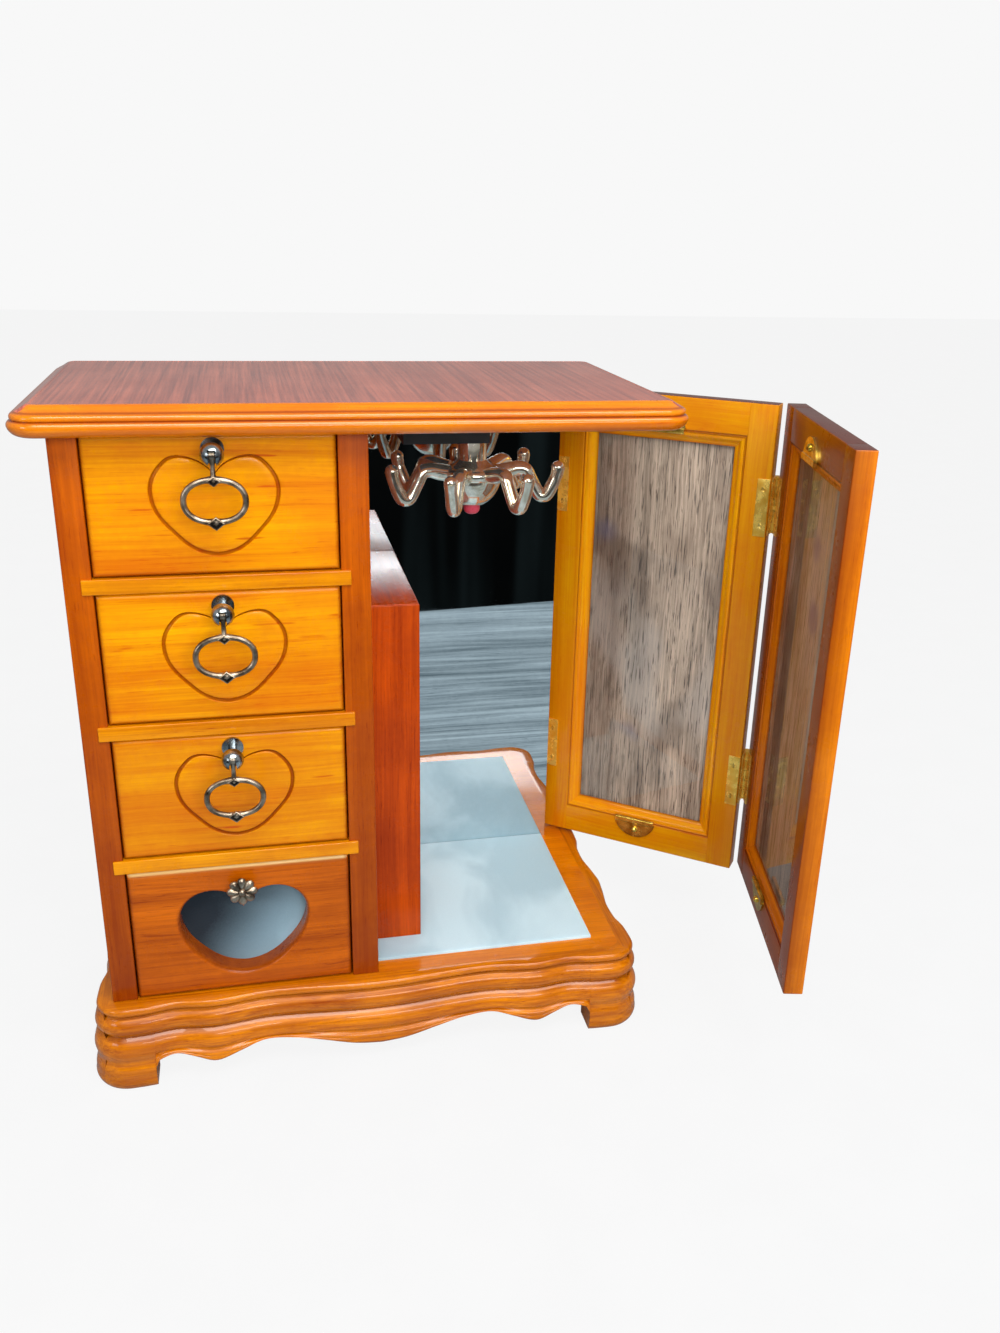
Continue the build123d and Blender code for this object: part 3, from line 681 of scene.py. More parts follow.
plinth_inset, plinth_sway, scroll_line = 5.0, 3.0, 17.0
PLINTH_LONG = [(-96.45, 8.7), (-96.0, 11.6), (-92.5, 13.6), (-87.0, 14.3), (-79.0, 11.4),
               (-71.0, 8.9), (-60.5, 12.2), (-50.0, 15.8), (-37.5, 14.8), (-25.0, 12.0),
               (-12.0, 9.0), (0.0, 7.9)]
PLINTH_SHORT = [(-41.45, 8.7), (-41.0, 11.4), (-38.0, 13.6), (-33.0, 14.6), (-22.0, 15.5),
                (-11.0, 11.6), (0.0, 8.3)]


def scallop(points, length):
    """The apron's lower edge along its length, mirrored about its middle: 0 under the feet."""
    curve = through(points, 400)
    inner = abs(points[0][0])

    def low(s):
        """The edge's height at a distance s along the side."""
        x = -np.abs(s - length / 2)
        return np.where(-x > inner, 0.0, np.interp(x, curve[:, 0], curve[:, 1]))
    return low, inner


def plinth_section():
    """Points (reach, height) of the plinth's closed section, from its foot up its face, over its
    top and down its back."""
    face = joined(bow((9.2, 0), (10.1, 1.4), (10.2, 5.6), 8),
                  bow((10.2, 5.6), (10.0, 8.6), (9.2, 10.8), 6),
                  bow((9.2, 10.8), (8.8, 12.6), (9.2, 14.4), 5),
                  bow((9.2, 14.4), (9.9, 18.7), (8.3, 22.8), 10), [(7.4, 23.7), (6.3, 24.6)],
                  bow((6.3, 24.8), (8.7, 28.9), (6.8, 33.2), 12), [(6.3, 33.9), (6.3, 34.5)],
                  bow((5.8, 34.7), (7.4, 36.4), (6.7, 38.3), 8), [(6.3, plinth_height)])
    back = [(0, plinth_height), (0, 32.5), (-4, 32.5), (-4, 24.0), (-4, 17.0), (-4, 8.0), (-4, 0)]
    return joined(face, back)


def apron_sway(low, straight, inner, length):
    """How far the face sways at each station: back by nothing where the edge is under 8 high and
    by the whole sway from 16 up, dying out towards the mitres, and smoothed over 13 stations."""
    half = length / 2
    smooth = low(np.clip(straight, half - inner + 1, half + inner - 1))
    middle = (straight > half - inner - 16) & (straight < half + inner + 16)
    to_mitre = np.minimum(straight - plinth_inset, length - plinth_inset - straight)
    fade = np.clip(to_mitre / 18.0, 0, 1)
    sway = np.where(middle, -plinth_sway * np.clip((smooth - 8.0) / 8.0, 0, 1), 0) * fade ** 2
    kernel = np.hanning(13)
    return np.convolve(np.pad(sway, 6, mode="edge"), kernel / kernel.sum(), "valid")


def plinth_side(name, start, heading, length, points, offset, along):
    """One apron: the section carried from mitre to mitre. Below the scroll line its heights are
    drawn up to the scalloped edge, and the face sways in and out with that edge."""
    mitre_steps, foot_steps, scroll_steps = 8, 14, 130
    low, inner = scallop(points, length)
    section = plinth_section() + (plinth_inset, 0)
    run = np.array([math.cos(math.radians(heading + 90)), math.sin(math.radians(heading + 90)), 0])
    out = np.array([math.cos(math.radians(heading)), math.sin(math.radians(heading)), 0])
    half = length / 2
    straight = np.concatenate([np.linspace(plinth_inset, half - inner, foot_steps),
                               np.linspace(half - inner, half + inner, scroll_steps),
                               np.linspace(half + inner, length - plinth_inset, foot_steps)])
    lows = low(straight)
    # each foot's side goes straight up to where the scroll starts
    lows[foot_steps - 1], lows[foot_steps] = 0.0, points[0][1]
    lows[-foot_steps - 1], lows[-foot_steps] = points[0][1], 0.0
    # the inset rectangle's corner is the turning centre of each mitre
    begin = np.array([*start, 0.0])
    inward = -out * plinth_inset
    first = begin + run * plinth_inset + inward
    last = begin + run * (length - plinth_inset) + inward
    origins = np.vstack([np.tile(first, (mitre_steps, 1)), begin + inward + straight[:, None] * run,
                         np.tile(last, (mitre_steps, 1))])
    turn = np.radians(np.linspace(45, 0, mitre_steps + 1))[:-1]
    lead = np.cos(turn)[:, None] * out - np.sin(turn)[:, None] * run
    tail = (np.cos(turn)[:, None] * out + np.sin(turn)[:, None] * run)[::-1]
    outward = np.vstack([lead, np.tile(out, (len(straight), 1)), tail])
    edge = np.pad(lows, mitre_steps)[:, None]
    sway = np.pad(apron_sway(low, straight, inner, length), mitre_steps)[:, None]
    a = np.tile(section[:, 0], (len(origins), 1))
    b = np.tile(section[:, 1], (len(origins), 1))
    b = np.where(b < scroll_line, edge + b * (scroll_line - edge) / scroll_line, b)
    a = a + sway * np.clip((a - plinth_inset - 2.0) / 3.0, 0, 1)
    up = np.tile((0.0, 0.0, 1.0), (len(origins), 1))
    patches = solid_sweep(np.stack([a, b], -1), origins, outward, up)
    piece(name, patches, "case", plinth_lacquer, (name.replace("apron", "plinth"),),
          along=along, offset=offset, sharp=38, painted_light_and_toning=plinth_quirks)


def plinth_quirks(p):
    """Painted shade under the two beads of the plinth, and towards its lower edge."""
    z = p[:, 2]
    return (0.5 * np.exp(-((z - 24.3) / 0.8) ** 2) + 0.5 * np.exp(-((z - 34.2) / 0.45) ** 2)
            + 0.2 * np.clip((16 - z) / 10, 0, 1))


def plinth():
    """Four aprons, each starting at the corner where the one before it ends."""
    w, d = case_width, case_depth
    plinth_side("apron_front", (0, 0), 270, w, PLINTH_LONG, 0.11, (1, 0, 0))
    plinth_side("apron_right", (w, 0), 0, d, PLINTH_SHORT, 0.53, (0, 1, 0))
    plinth_side("apron_rear", (w, d), 90, w, PLINTH_LONG, 0.77, (1, 0, 0))
    plinth_side("apron_left", (0, d), 180, d, PLINTH_SHORT, 0.95, (0, 1, 0))


# ---- case ----

def foot_falloff_shade(p):
    """Painted shade on the uprights, stronger towards their feet, for the light falling off
    downwards.
    """
    return 0.42 * np.clip((190 - p[:, 2]) / 130, 0, 1)


def board(name, low, high, ease, material, node, along, across, offset, painted_light_and_toning=None):
    """One eased board of the case, in place of the node it stands for."""
    piece(name, eased_board(low, high, ease), "case", material, (node,), along, across,
          offset, painted_light_and_toning=painted_light_and_toning)


def case():
    """Uprights, back, the rails between the drawers with their tongues, and the step box."""
    x, y, z = (1, 0, 0), (0, 1, 0), (0, 0, 1)
    top, bottom = case_top, plinth_height
    board("left_upright", (0, 0, bottom), (bay_left, back_front, top), 0.5, case_lacquer,
          "left_side", z, y, 0.2, foot_falloff_shade)
    board("middle_upright", (bay_right, 0, bottom), (niche_left, back_front, top), 0.5,
          case_lacquer, "partition", z, y, 0.6, foot_falloff_shade)
    board("back_board", (0, back_front, bottom), (back_right, case_depth, top), 0.5, back_lacquer,
          "back_panel", z, x, 0.9)
    nose, tongue_depth = 3.8, 14
    for n in (1, 2, 3):
        high = opening_bottom(n)
        low = high - rail_height
        face = eased_board((bay_left - nose, -1.0, low), (bay_right + nose, 0.6, high), 0.45)
        tongue = eased_board((bay_left, 0.2, low), (bay_right, tongue_depth, high), 0.3)
        piece(f"front_rail_{n}", face + tongue, "case", rail_lacquer, (f"rail_{n}",),
              offset=0.21 * n)
    thick, shy = 5, 0.5
    board("step_front_board", (niche_left, step_front, bottom),
          (step_right, step_front + thick, step_top - shy), 0.3, step_lacquer, "step_box_front",
          z, x, 0.35)
    board("step_side_board", (step_right - thick, step_front + 4.6, bottom),
          (step_right, step_back, step_top - shy), 0.3, step_lacquer, "step_box_side", z, y, 0.45)
    board("step_lid", (niche_left, step_front + 0.3, step_top - thick),
          (step_right - 0.3, step_back, step_top), 0.4, step_lacquer, "step_box_top", y, x, 0.15)
    dress(["base_board"], board_lacquer)
    dress(["dust_panel_1", "dust_panel_2", "dust_panel_3"], bare_wood)
    dress(["mirror"], mirror)
    dress(["carousel_housing"], black_plastic)


def floor_pad():
    """An L of flocked board: the narrow strip before the step box and the field beside it. Its
    outline goes up in rings, each pushed in from the last along both its neighbours' sides."""
    low, high = (np.array(corner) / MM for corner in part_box("floor_pad"))
    x0, y0, z0 = low
    x1, y1, z1 = high
    ease, border = 0.45, 3.0
    outline = np.array([(x0, y0), (x1, y0), (x1, y1), (step_right, y1), (step_right, step_front),
                        (x0, step_front)])
    a, b = outline - np.roll(outline, 1, 0), np.roll(outline, -1, 0) - outline
    a /= np.linalg.norm(a, axis=1, keepdims=True)
    b /= np.linalg.norm(b, axis=1, keepdims=True)
    inward = np.stack([-a[:, 1] - b[:, 1], a[:, 0] + b[:, 0]], -1)
    levels = [(0, z0), (0, z1 - ease), (ease * 0.3, z1 - ease * 0.3), (ease, z1), (border, z1)]
    rings = np.array([np.column_stack([outline + inward * push, np.full(len(outline), z)])
                      for push, z in levels])
    rows = np.concatenate([rings, rings[:, :1]], 1)
    halves = [ring[np.array(order)] for ring in (rings[-1], rings[0])
              for order in (((0, 5), (1, 4)), ((1, 2), (4, 3)))]
    pad = piece("niche_pad", [rows, *halves], "case", pale_velvet, ("floor_pad",))


# ---- carousel ----

def carousel():
    """A turned hub with a flange, and wire hooks, each out over a shoulder, down, and up to a
    ball. A hook is thicker at its root and thinner before its ball, each by a bell curve."""
    bowl, top, seat = hub_top - 16.2, hub_top, housing_bottom - 0.3
    profile = joined([(0, bowl), (3.8, bowl)],
                     bow((5.0, bowl + 0.2), (10.0, bowl + 4.6), (12.4, top - 4.6), 16),
                     bow((12.9, top - 4.2), (13.6, top - 2.2), (12.9, top - 0.3), 8),
                     bow((12.4, top), (8.6, top + 1.0), (6.9, top + 2.4), 8),
                     [(6.0, top + 3.2), (6.0, seat - 1.2), (5.7, seat), (2.0, seat),
                      (2.0, housing_bottom + 9.0), (0, housing_bottom + 9.0)])
    piece("hub", lathe(profile, (carousel_x, carousel_y, 0)), "carousel", chrome,
          ("carousel_hub",))
    root, dip, tip, wire = top - 1.6, top - 12.0, top + 0.6, 2.85
    route = through([(11.0, root - 0.6), (15.5, root + 0.3), (19.5, root + 1.3), (22.8, root + 0.6),
                     (25.0, root - 3.2), (27.0, dip + 3.4), (28.8, dip + 0.6), (30.6, dip),
                     (32.4, dip + 0.9), (34.2, dip + 4.4), (35.8, tip - 4.2), (36.8, tip)], 70)
    along = np.linspace(0, 1, 70)
    thick = wire + 0.7 * np.exp(-(along / 0.2) ** 2) - 0.25 * np.exp(-((along - 0.9) / 0.06) ** 2)
    flat = np.stack([route[:, 0], 0 * route[:, 0], route[:, 1]], -1)
    single = tube(flat, thick, 22) + ball((36.5, 0, tip - 0.3), wire, sides=24)
    for turn in range(hook_count):
        heading = hook_phase + 360 / hook_count * turn
        shape = [turned(g, np.zeros(3), heading) + (carousel_x, carousel_y, 0) for g in single]
        piece(f"hook_{turn + 1}", shape, "carousel", chrome,
              ("carousel_hooks",) if turn == 0 else (), sharp=60)
    low = bowl - 4.2
    cap = joined([(0, low)], bow((1.4, low), (2.8, low + 0.7), (3.5, low + 2.2), 7),
                 [(3.5, bowl - 0.2), (0, bowl - 0.2)])
    piece("hub_cap", lathe(cap, (carousel_x, carousel_y, 0)), "carousel",
          pink_plastic, ("carousel_cap",))


# ---- drawers ----

def heart_radius(width, tip_drop, notch_rise, centre_drop):
    """A heart's reach in every direction from a point below its notch: two arcs a side."""
    half = width / 2
    lobe = (half ** 2 + notch_rise ** 2) / width
    flank = (half ** 2 + tip_drop ** 2) / width
    top = math.atan2(notch_rise, -(half - lobe))
    upper = np.linspace(top, 0, 400)
    tip = math.atan2(tip_drop, flank - half)
    lower = np.linspace(0, -tip, 400)
    right = np.vstack([np.stack([half - lobe + lobe * np.cos(upper), lobe * np.sin(upper)], -1),
                       np.stack([half - flank + flank * np.cos(lower), flank * np.sin(lower)], -1)])
    right[:, 1] += centre_drop
    reach = np.hypot(right[:, 0], right[:, 1])
    angle = np.arctan2(right[:, 0], right[:, 1])
    order = np.argsort(angle)

    def radius(phi):
        """phi is measured from straight up, and both sides are alike."""
        folded = np.abs((phi + np.pi) % (2 * np.pi) - np.pi)
        return np.interp(folded, angle[order], reach[order])
    return radius


# the carved line as (share drawn in from the heart's edge, depth), and the share by which the
# cut edge opens
CARVED = ((0.088, 0.0), (0.078, 0.10), (0.062, 0.66), (0.046, 0.96), (0.030, 0.96), (0.016, 0.60),
          (0.006, 0.12), (0.0, 0.0))
WINDOW_EASE = 0.075


def front_heights(number):
    """The foot and top of a drawer's front, which clears its opening all round."""
    opening = bottom_opening if number == 4 else drawer_opening
    low = opening_bottom(number)
    return low + front_clearance, low + opening - front_clearance


def heart_front(number, width, tip_drop, notch_rise, middle, centre_drop):
    """A drawer front on rays from a point inside its heart: rings of points go out along them,
    over the carved line or the cut edge, to the board's eased edge and round to its back."""
    window = number == 4
    low, high = front_heights(number)
    cx, cz = pull_x, opening_bottom(number) + middle - centre_drop
    ease = 1.9
    left, right = bay_left + front_clearance + ease - cx, bay_right - front_clearance - ease - cx
    down, up = low + ease - cz, high - ease - cz
    corner_angles = np.arctan2([right, right, left, left], [up, down, down, up])
    phi = np.unique(np.concatenate([np.linspace(-np.pi, np.pi, 361)[:-1], corner_angles]))
    s, c = np.sin(phi), np.cos(phi)
    reach_x = np.abs(np.where(s > 0, right, left) / np.where(np.abs(s) < 1e-12, 1e-12, s))
    reach_z = np.abs(np.where(c > 0, up, down) / np.where(np.abs(c) < 1e-12, 1e-12, c))
    reach = np.minimum(reach_x, reach_z)
    on_x, on_z = reach_x <= reach_z + 1e-9, reach_z <= reach_x + 1e-9
    push = np.stack([np.sign(s) * on_x, np.sign(c) * on_z], -1)
    heart = heart_radius(width, tip_drop, notch_rise, centre_drop)(phi)
    side = np.abs((phi + np.pi) % (2 * np.pi) - np.pi)
    if window:
        # the cut heart's notch is shallow and its flanks run in to a narrower foot
        heart = (heart * (1 - 0.05 * np.exp(-((side - 2.25) / 0.45) ** 2))
                 + 1.9 * np.exp(-(side / 0.42) ** 2))
    else:
        # a carved heart has fuller lobes and straighter flanks than two arcs give
        heart = heart * (1 + 0.055 * np.exp(-((side - 0.8) / 0.22) ** 2)
                         - 0.07 * np.exp(-((side - 2.3) / 0.42) ** 2))

    def ring(radius, depth, out=0.0):
        """Points at a radius along every ray, pushed out square to the board's own edges."""
        x = cx + radius * s + push[:, 0] * out
        z = cz + radius * c + push[:, 1] * out
        return np.stack([x, np.full_like(x, depth), z], -1)

    if window:
        rings = [ring(heart, front_thickness), ring(heart, 6.0)]
        rings += [ring(heart * (1 + WINDOW_EASE * (1 - math.cos(t))), 3.2 * (1 - math.sin(t)))
                  for t in np.linspace(0, math.pi / 2, 9)]
        start = heart * (1 + WINDOW_EASE)
    else:
        rings = [ring(heart * share, 0.0) for share in (0.0, 0.4, 0.8)]
        rings += [ring(heart * (1 - shrink), depth) for shrink, depth in CARVED]
        start = heart * (1 - CARVED[-1][0])
    rings += [ring(start + (reach - start) * share, 0.0) for share in np.linspace(0, 1, 12)[1:]]
    rings += [ring(reach, ease * (1 - math.cos(t)), ease * math.sin(t))
              for t in np.linspace(0, math.pi / 2, 6)[1:]]
    rings += [ring(reach, front_thickness, ease)]
    rings += [ring(heart if window else reach * 0, front_thickness)]
    rings = np.array(rings)
    return np.concatenate([rings, rings[:, :1]], 1)


def front_shade_and_highlight(number):
    """Painted shade along a front's sides and foot and down into the carved line of the upper
    fronts and the cut window of the lowest, a little all over the second and third fronts for the
    light falling off downwards, and a painted highlight along the lowest front's top edge."""
    low, high = front_heights(number)
    left, right = bay_left + front_clearance, bay_right - front_clearance
    # painted shade: the second and third fronts a little darker all over, for the light falling off
    # downwards
    darker = {2: 0.03, 3: 0.14}.get(number, 0)
    carved_share, highlight_share = (0.4, 0.8) if number == 4 else (0.72, 0)

    def painted_light_and_toning(p):
        """Painted shade as a bell curve from each edge and a ramp with depth inside the border,
        less a bell curve of painted highlight under the top edge.
        """
        gap = np.minimum(np.minimum(p[:, 0] - left, right - p[:, 0]), p[:, 2] - low)
        inner = np.minimum(gap, high - p[:, 2]) > 3
        carving = np.clip((p[:, 1] - 0.12) / 0.6, 0, 0.9) * carved_share
        painted_highlight = np.exp(-((high - 0.8 - p[:, 2]) / 0.7) ** 2) * (p[:, 1] < 2)
        return (darker + 0.7 * np.exp(-(gap / 1.1) ** 2) + carving * inner
                - highlight_share * painted_highlight)
    return painted_light_and_toning


def drawers():
    """Three fronts with a carved heart and one with a cut heart, and what is behind them."""
    for n in (1, 2, 3):
        patch = heart_front(n, 47.6, 24.9, 6.0, 32.0, 1.5)
        piece(f"front_{n}", [patch], f"drawer_{n}", upper_drawer,
              (f"drawer_{n}_front",), offset=0.31 * n, sharp=40, painted_light_and_toning=front_shade_and_highlight(n))
    patch = heart_front(4, 52.4, 27.2, 3.0, 35.7, 3.5)
    piece("front_4", [patch], "drawer_4", lower_drawer, ("drawer_4_front",),
          offset=1.37, sharp=40, painted_light_and_toning=front_shade_and_highlight(4))
    for n in (1, 2, 3, 4):
        dress([f"drawer_{n}_box"], bare_wood)
        dress([f"drawer_{n}_bottom"], blue_velvet if n == 4 else pale_velvet)
    dress(["window_backing"], blue_velvet)
    dress([f"drawer_{n}_pull" for n in (1, 2, 3)], steel)


plate_share = 0.78


def diamond(centre, size, depth):
    """A four-sided plate facing forward: a rim, a sunk field and a raised point in its middle."""
    profile = [(0, -depth), (size * 0.8, -depth), (size, -depth * 0.3), (size * 0.96, depth * 0.5),
               (size * 0.8, depth * 0.7), (size * 0.68, depth * 0.15), (size * 0.34, depth * 0.1),
               (size * 0.22, depth * 0.6), (0, depth * 0.7)]
    centre = np.asarray(centre, float)
    return [centre + (g - centre) * (1, 1, plate_share)
            for g in lathe(profile, centre, (0, -1, 0), 4)]


def plate_stain(z, spots):
    """Toning is kept in the sunk field of each plate, between two diamonds."""
    def painted_light_and_toning(p):
        """A diamond's measure is its two distances added over its size, the upright one over the
        plates' share first, and the field has 0.28 to 0.72 of it."""
        kept = 0
        for drop, size in spots:
            out = (np.abs(p[:, 0] - pull_x) + np.abs(p[:, 2] - z + drop) / plate_share) / size
            kept = kept + (out < 0.72) * (out > 0.28) * (p[:, 1] < -pull_reach - 0.9)
        return 0.9 * kept
    return painted_light_and_toning


def bails():
    """Each bail is an oval wire with a blunt point at top and bottom, where a plate lies on it:
    x = a cos t, z = b sin t drawn towards a box by a power of both. A stem goes up to the eye."""
    half_width, half_height, drop = 10.85, 7.7, 16.6
    spots = ((9.3, 2.6), (24.6, 3.3))
    t = np.linspace(0, 2 * np.pi, 161)
    c, s = np.cos(t), np.sin(t)
    x = half_width * np.sign(c) * np.abs(c) ** 0.9
    rise = half_height * np.sign(s) * np.abs(s) ** 0.92
    for n in (1, 2, 3):
        z = opening_bottom(n) + pull_height
        path = np.stack([pull_x + x, np.full_like(x, -pull_reach), z - drop + rise], -1)
        wire = tube(path, 1.12 + 0.35 * np.exp(-(x / 2.2) ** 2), 18)[:1]
        stem = lathe([(0, -9.6), (1.5, -9.2), (1.3, -8.2), (0.95, -7.2), (0.85, -3.4), (1.1, -2.2),
                      (1.1, -1.0), (0, -0.8)], (pull_x, -pull_reach, z), sides=24)
        eye = lathe([(0, -1.1), (1.7, -1.1), (1.9, -0.9), (1.9, 0.9), (1.7, 1.1), (0, 1.1)],
                    (pull_x, -pull_reach, z), axis=(1, 0, 0), sides=28)
        plates = [g for below, size in spots
                  for g in diamond((pull_x, -pull_reach - 1.0, z - below), size, 0.8)]
        piece(f"pull_ring_{n}", wire + stem + eye + plates, f"bail_{n}", pewter,
              (f"bail_{n}",), sharp=40, painted_light_and_toning=plate_stain(z, spots))


def flower():
    """Eight petals round a boss: each ray's reach and its dome swell with the cosine of four
    times its angle."""
    z, face = opening_bottom(4) + knob_height, 5.0
    angle = np.linspace(0, 2 * np.pi, 161)
    petal = np.abs(np.cos(4 * angle)) ** 0.7
    reach = 4.9 + 1.4 * petal

    def ring(radius, forward):
        """Points round the knob's axis, at a distance in front of the drawer."""
        return np.stack([pull_x + radius * np.cos(angle), -forward * np.ones_like(angle),
                         z + radius * np.sin(angle)], -1)

    shares = (1.0, 0.97, 0.9, 0.8, 0.65, 0.5, 0.38, 0.3)
    front = [ring(reach * share, face + 0.5 + (0.9 + 1.5 * petal) * math.sqrt(1 - share ** 2)
                  * (0.4 + 0.6 * share)) for share in shares]
    boss = ((0.3, 0.9), (0.26, 2.2), (0.16, 2.9), (0.0, 3.1))
    front += [ring(6.0 * share, face + height) for share, height in boss]
    back = ring(reach * 0.9, 4.6)
    post = lathe([(0, 0.2), (1.9, 0.2), (1.7, 2.0), (1.9, 4.7), (0, 4.7)], (pull_x, 0, z),
                 axis=(0, -1, 0), sides=24)
    patches = [np.array(front), np.stack([front[0], back]), closing(back)] + post
    piece("flower_knob", patches, "drawer_4", pewter, ("drawer_4_knob",), sharp=50)


# ---- doors ----

def bead_section(width):
    """The bead between a bar's face and the glass, as (inward, depth): a quirk, a small round, a
    long ogee down to the glass, and the rebate behind."""
    w, back = width, door_thickness - 0.3
    return joined([(w - 0.4, 0.5)], bow((w, 0.45), (w + 0.6, 0.5), (w + 1.1, 1.1), 6),
                  bow((w + 1.2, 1.25), (w + 2.2, 1.35), (w + 3.3, 2.1), 6),
                  bow((w + 3.4, 2.2), (w + 4.6, 3.2), (w + 6.0, 3.6), 6),
                  [(w + 6.1, 4.0), (w + 2.8, 4.0), (w + 2.8, back), (w - 0.4, back)])


def bead_bar(width, length, first):
    """The bead carried along a bar and cut on a 45 degree mitre at both ends."""
    section = bead_section(width)
    begin = first + section[:, 0] - width
    share = np.linspace(0, 1, 24)[:, None]
    station = begin[None] * (1 - share) + (length - begin[None]) * share
    return capped(np.stack([np.broadcast_to(section[:, 0], station.shape),
                            np.broadcast_to(section[:, 1], station.shape), station], -1))


def door_axes(mount):
    """A door's corner where it rests, and the directions along it and into its depth."""
    origin = mount(np.zeros(3))
    return origin, mount(np.array([1.0, 0, 0])) - origin, mount(np.array([0, 1.0, 0])) - origin


def frame_shade(width, mount, inner):
    """Painted shade in the quirk and at the foot of a door's bead and along its outer edges, and a
    share more on the inner face, painted shade for a door that faces away from the light."""
    origin, along, deep = door_axes(mount)

    def painted_light_and_toning(p):
        """Bell curves from the bars' inner and outer edges, and a ramp near the inner face."""
        u, d, z = (p - origin) @ along, (p - origin) @ deep, p[:, 2] - door_bottom
        up = door_top - door_bottom - z
        across, upright = np.minimum(u, width - u), np.minimum(z, up)
        inside = np.minimum(across - stile_width, upright - door_rail_width)
        lines = (0.75 * np.exp(-((inside - 0.2) / 0.6) ** 2)
                 + 0.6 * np.exp(-((inside - 6.0) / 0.8) ** 2)) * (d < 4.2)
        edge = 0.35 * np.exp(-(np.minimum(across, upright) / 0.8) ** 2) * (d < 0.6)
        return lines + edge + inner * np.clip((0.9 - d) / 0.8, 0, 1)
    return painted_light_and_toning


def door(name, width, mount, material, inner):
    """Two upright bars the door's whole height and two level bars between them, all eased, with
    mitred beads. A bar is made as (inward, depth, along)."""
    height = door_top - door_bottom
    stile, rail, t = stile_width, door_rail_width, door_thickness
    stiles = eased_board((0, 0, 0), (stile, t, height), 0.5) + bead_bar(stile, height, rail)
    rails = eased_board((0, 0.06, stile - 0.4), (rail, t - 0.06, width - stile + 0.4), 0.5)
    rails += bead_bar(rail, width, stile)
    along, upward = tuple(door_axes(mount)[1]), (0, 0, 1)
    bars = (("hinge_stile", stiles, lambda g: g, upward, along),
            ("free_stile", stiles, lambda g: g * (-1, 1, 1) + (width, 0, 0), upward, along),
            ("lower_rail", rails, lambda g: g[..., ::-1], along, upward),
            ("upper_rail", rails, lambda g: g[..., ::-1] * (1, 1, -1) + (0, 0, height), along,
             upward))
    for label, shape, lay, grain, cross in bars:
        node = f"{name}_stiles" if "stile" in label else f"{name}_rails"
        piece(f"{name}_{label}", [mount(lay(g)) for g in shape], name, material, (node,),
              grain, cross, offset=0.17 * (len(label) + len(name)), sharp=30,
              painted_light_and_toning=frame_shade(width, mount, inner))
    lap = 3.0
    low = (stile + lap, 5.5, rail + lap)
    high = (width - stile - lap, 8.0, height - rail - lap)
    piece(f"{name}_veneer", [mount(g) for g in eased_board(low, high, 0.2)], name,
          veneer, (f"{name}_panel",), upward, along, offset=0.4)
    dress([f"{name}_glass"], pane)


def screw_slots(mount, across):
    """The slot of each screw head is not cut: a narrow dark line of painted shade stands for it,
    straight up and down.
    """
    origin, along, _ = door_axes(mount)
    return lambda p: 0.55 * (np.abs((p - origin) @ along - across) < 0.35)


def doors():
    """Both doors, the screws in their hinge leaves, and the face plates of the hinges between
    them."""
    door("side_door", side_door_width, on_side_door, side_lacquer, 0.0)
    # the front door's inner face takes painted shade, as it faces away from the light
    door("front_door", front_door_width, on_front_door, front_lacquer, 0.44)
    head = [(0, -0.1), (0.25, 0.02), (0.9, 0.05), (1.2, 0.13), (1.35, 0.0), (1.35, -0.2),
            (0, -0.2)]
    plate_left, plate_right = 98.8, 104.6
    for name, mount, body, lift, across in (
            ("side_hinge_screws", on_side_door, "side_door", 0.4, 3.0),
            ("front_hinge_screws", on_front_door, "front_door", 0.4, 3.0),
            ("hinge_face_plates", on_side_door, "side_door", 0.35, 101.6)):
        parts = []
        for middle in hinge_heights:
            if name == "hinge_face_plates":
                parts += eased_board((plate_left, -0.35, middle - hinge_half_height),
                                     (plate_right, 0.2, middle + hinge_half_height), 0.15)
            for step in (-screw_step, screw_step):
                parts += lathe(head, (across, -lift, middle + step), axis=(0, -1, 0), sides=24)
        piece(name, [mount(g) for g in parts], body, hinge_brass, sharp=40,
              painted_light_and_toning=screw_slots(mount, across))
    dress(["side_hinge_case_leaves", "side_hinge_door_leaves", "front_hinge_side_leaves",
           "front_hinge_door_leaves"], hinge_brass)
    dress([f"{d}_door_{p}_button" for d in ("side", "front") for p in ("lower", "upper")], brass)


# ---- stage ----

def plane(name, points, material):
    """A flat four-sided plane of the stage, in metres."""
    mesh = bpy.data.meshes.new(name)
    mesh.from_pydata(points, [], [(0, 1, 2, 3)])
    obj = bpy.data.objects.new(name, mesh)
    bpy.context.scene.collection.objects.link(obj)
    obj.data.materials.append(material)
    return obj


def pale_floor():
    """A pale floor that keeps the shadow: to the camera it is its own shade mixed with near
    white."""
    material, tree, shader = surface("pale_floor", Roughness=0.9)
    drift = placed(tree, HANDLING, {"Vector": object_place(tree), "Low": 0.85, "High": 0.95})
    tree.links.new(mixed(tree, drift["Mask"], rgb(150, 152, 154), rgb(160, 162, 164)),
                   shader.inputs["Base Color"])
    path = add(tree, "LightPath").outputs
    glow = add(tree, "Emission", {"Color": rgb(255, 255, 255), "Strength": 1.03})
    share = math_node(tree, "MULTIPLY", path["Is Camera Ray"], 0.86)
    blend = add(tree, "MixShader", {0: share, 1: shader.outputs[0], 2: glow.outputs[0]})
    shown(tree, blend.outputs[0])
    return material


def greyed_boards(tree):
    """Greyed boards of a table top."""
    figure = placed(tree, WOOD, {"Vector": object_place(tree), "Bands": 1.6, "Streaks": 1.2,
                                 "Pores": 0.5})
    return mixed(tree, figure["Tone"], rgb(84, 100, 108), rgb(196, 212, 220))


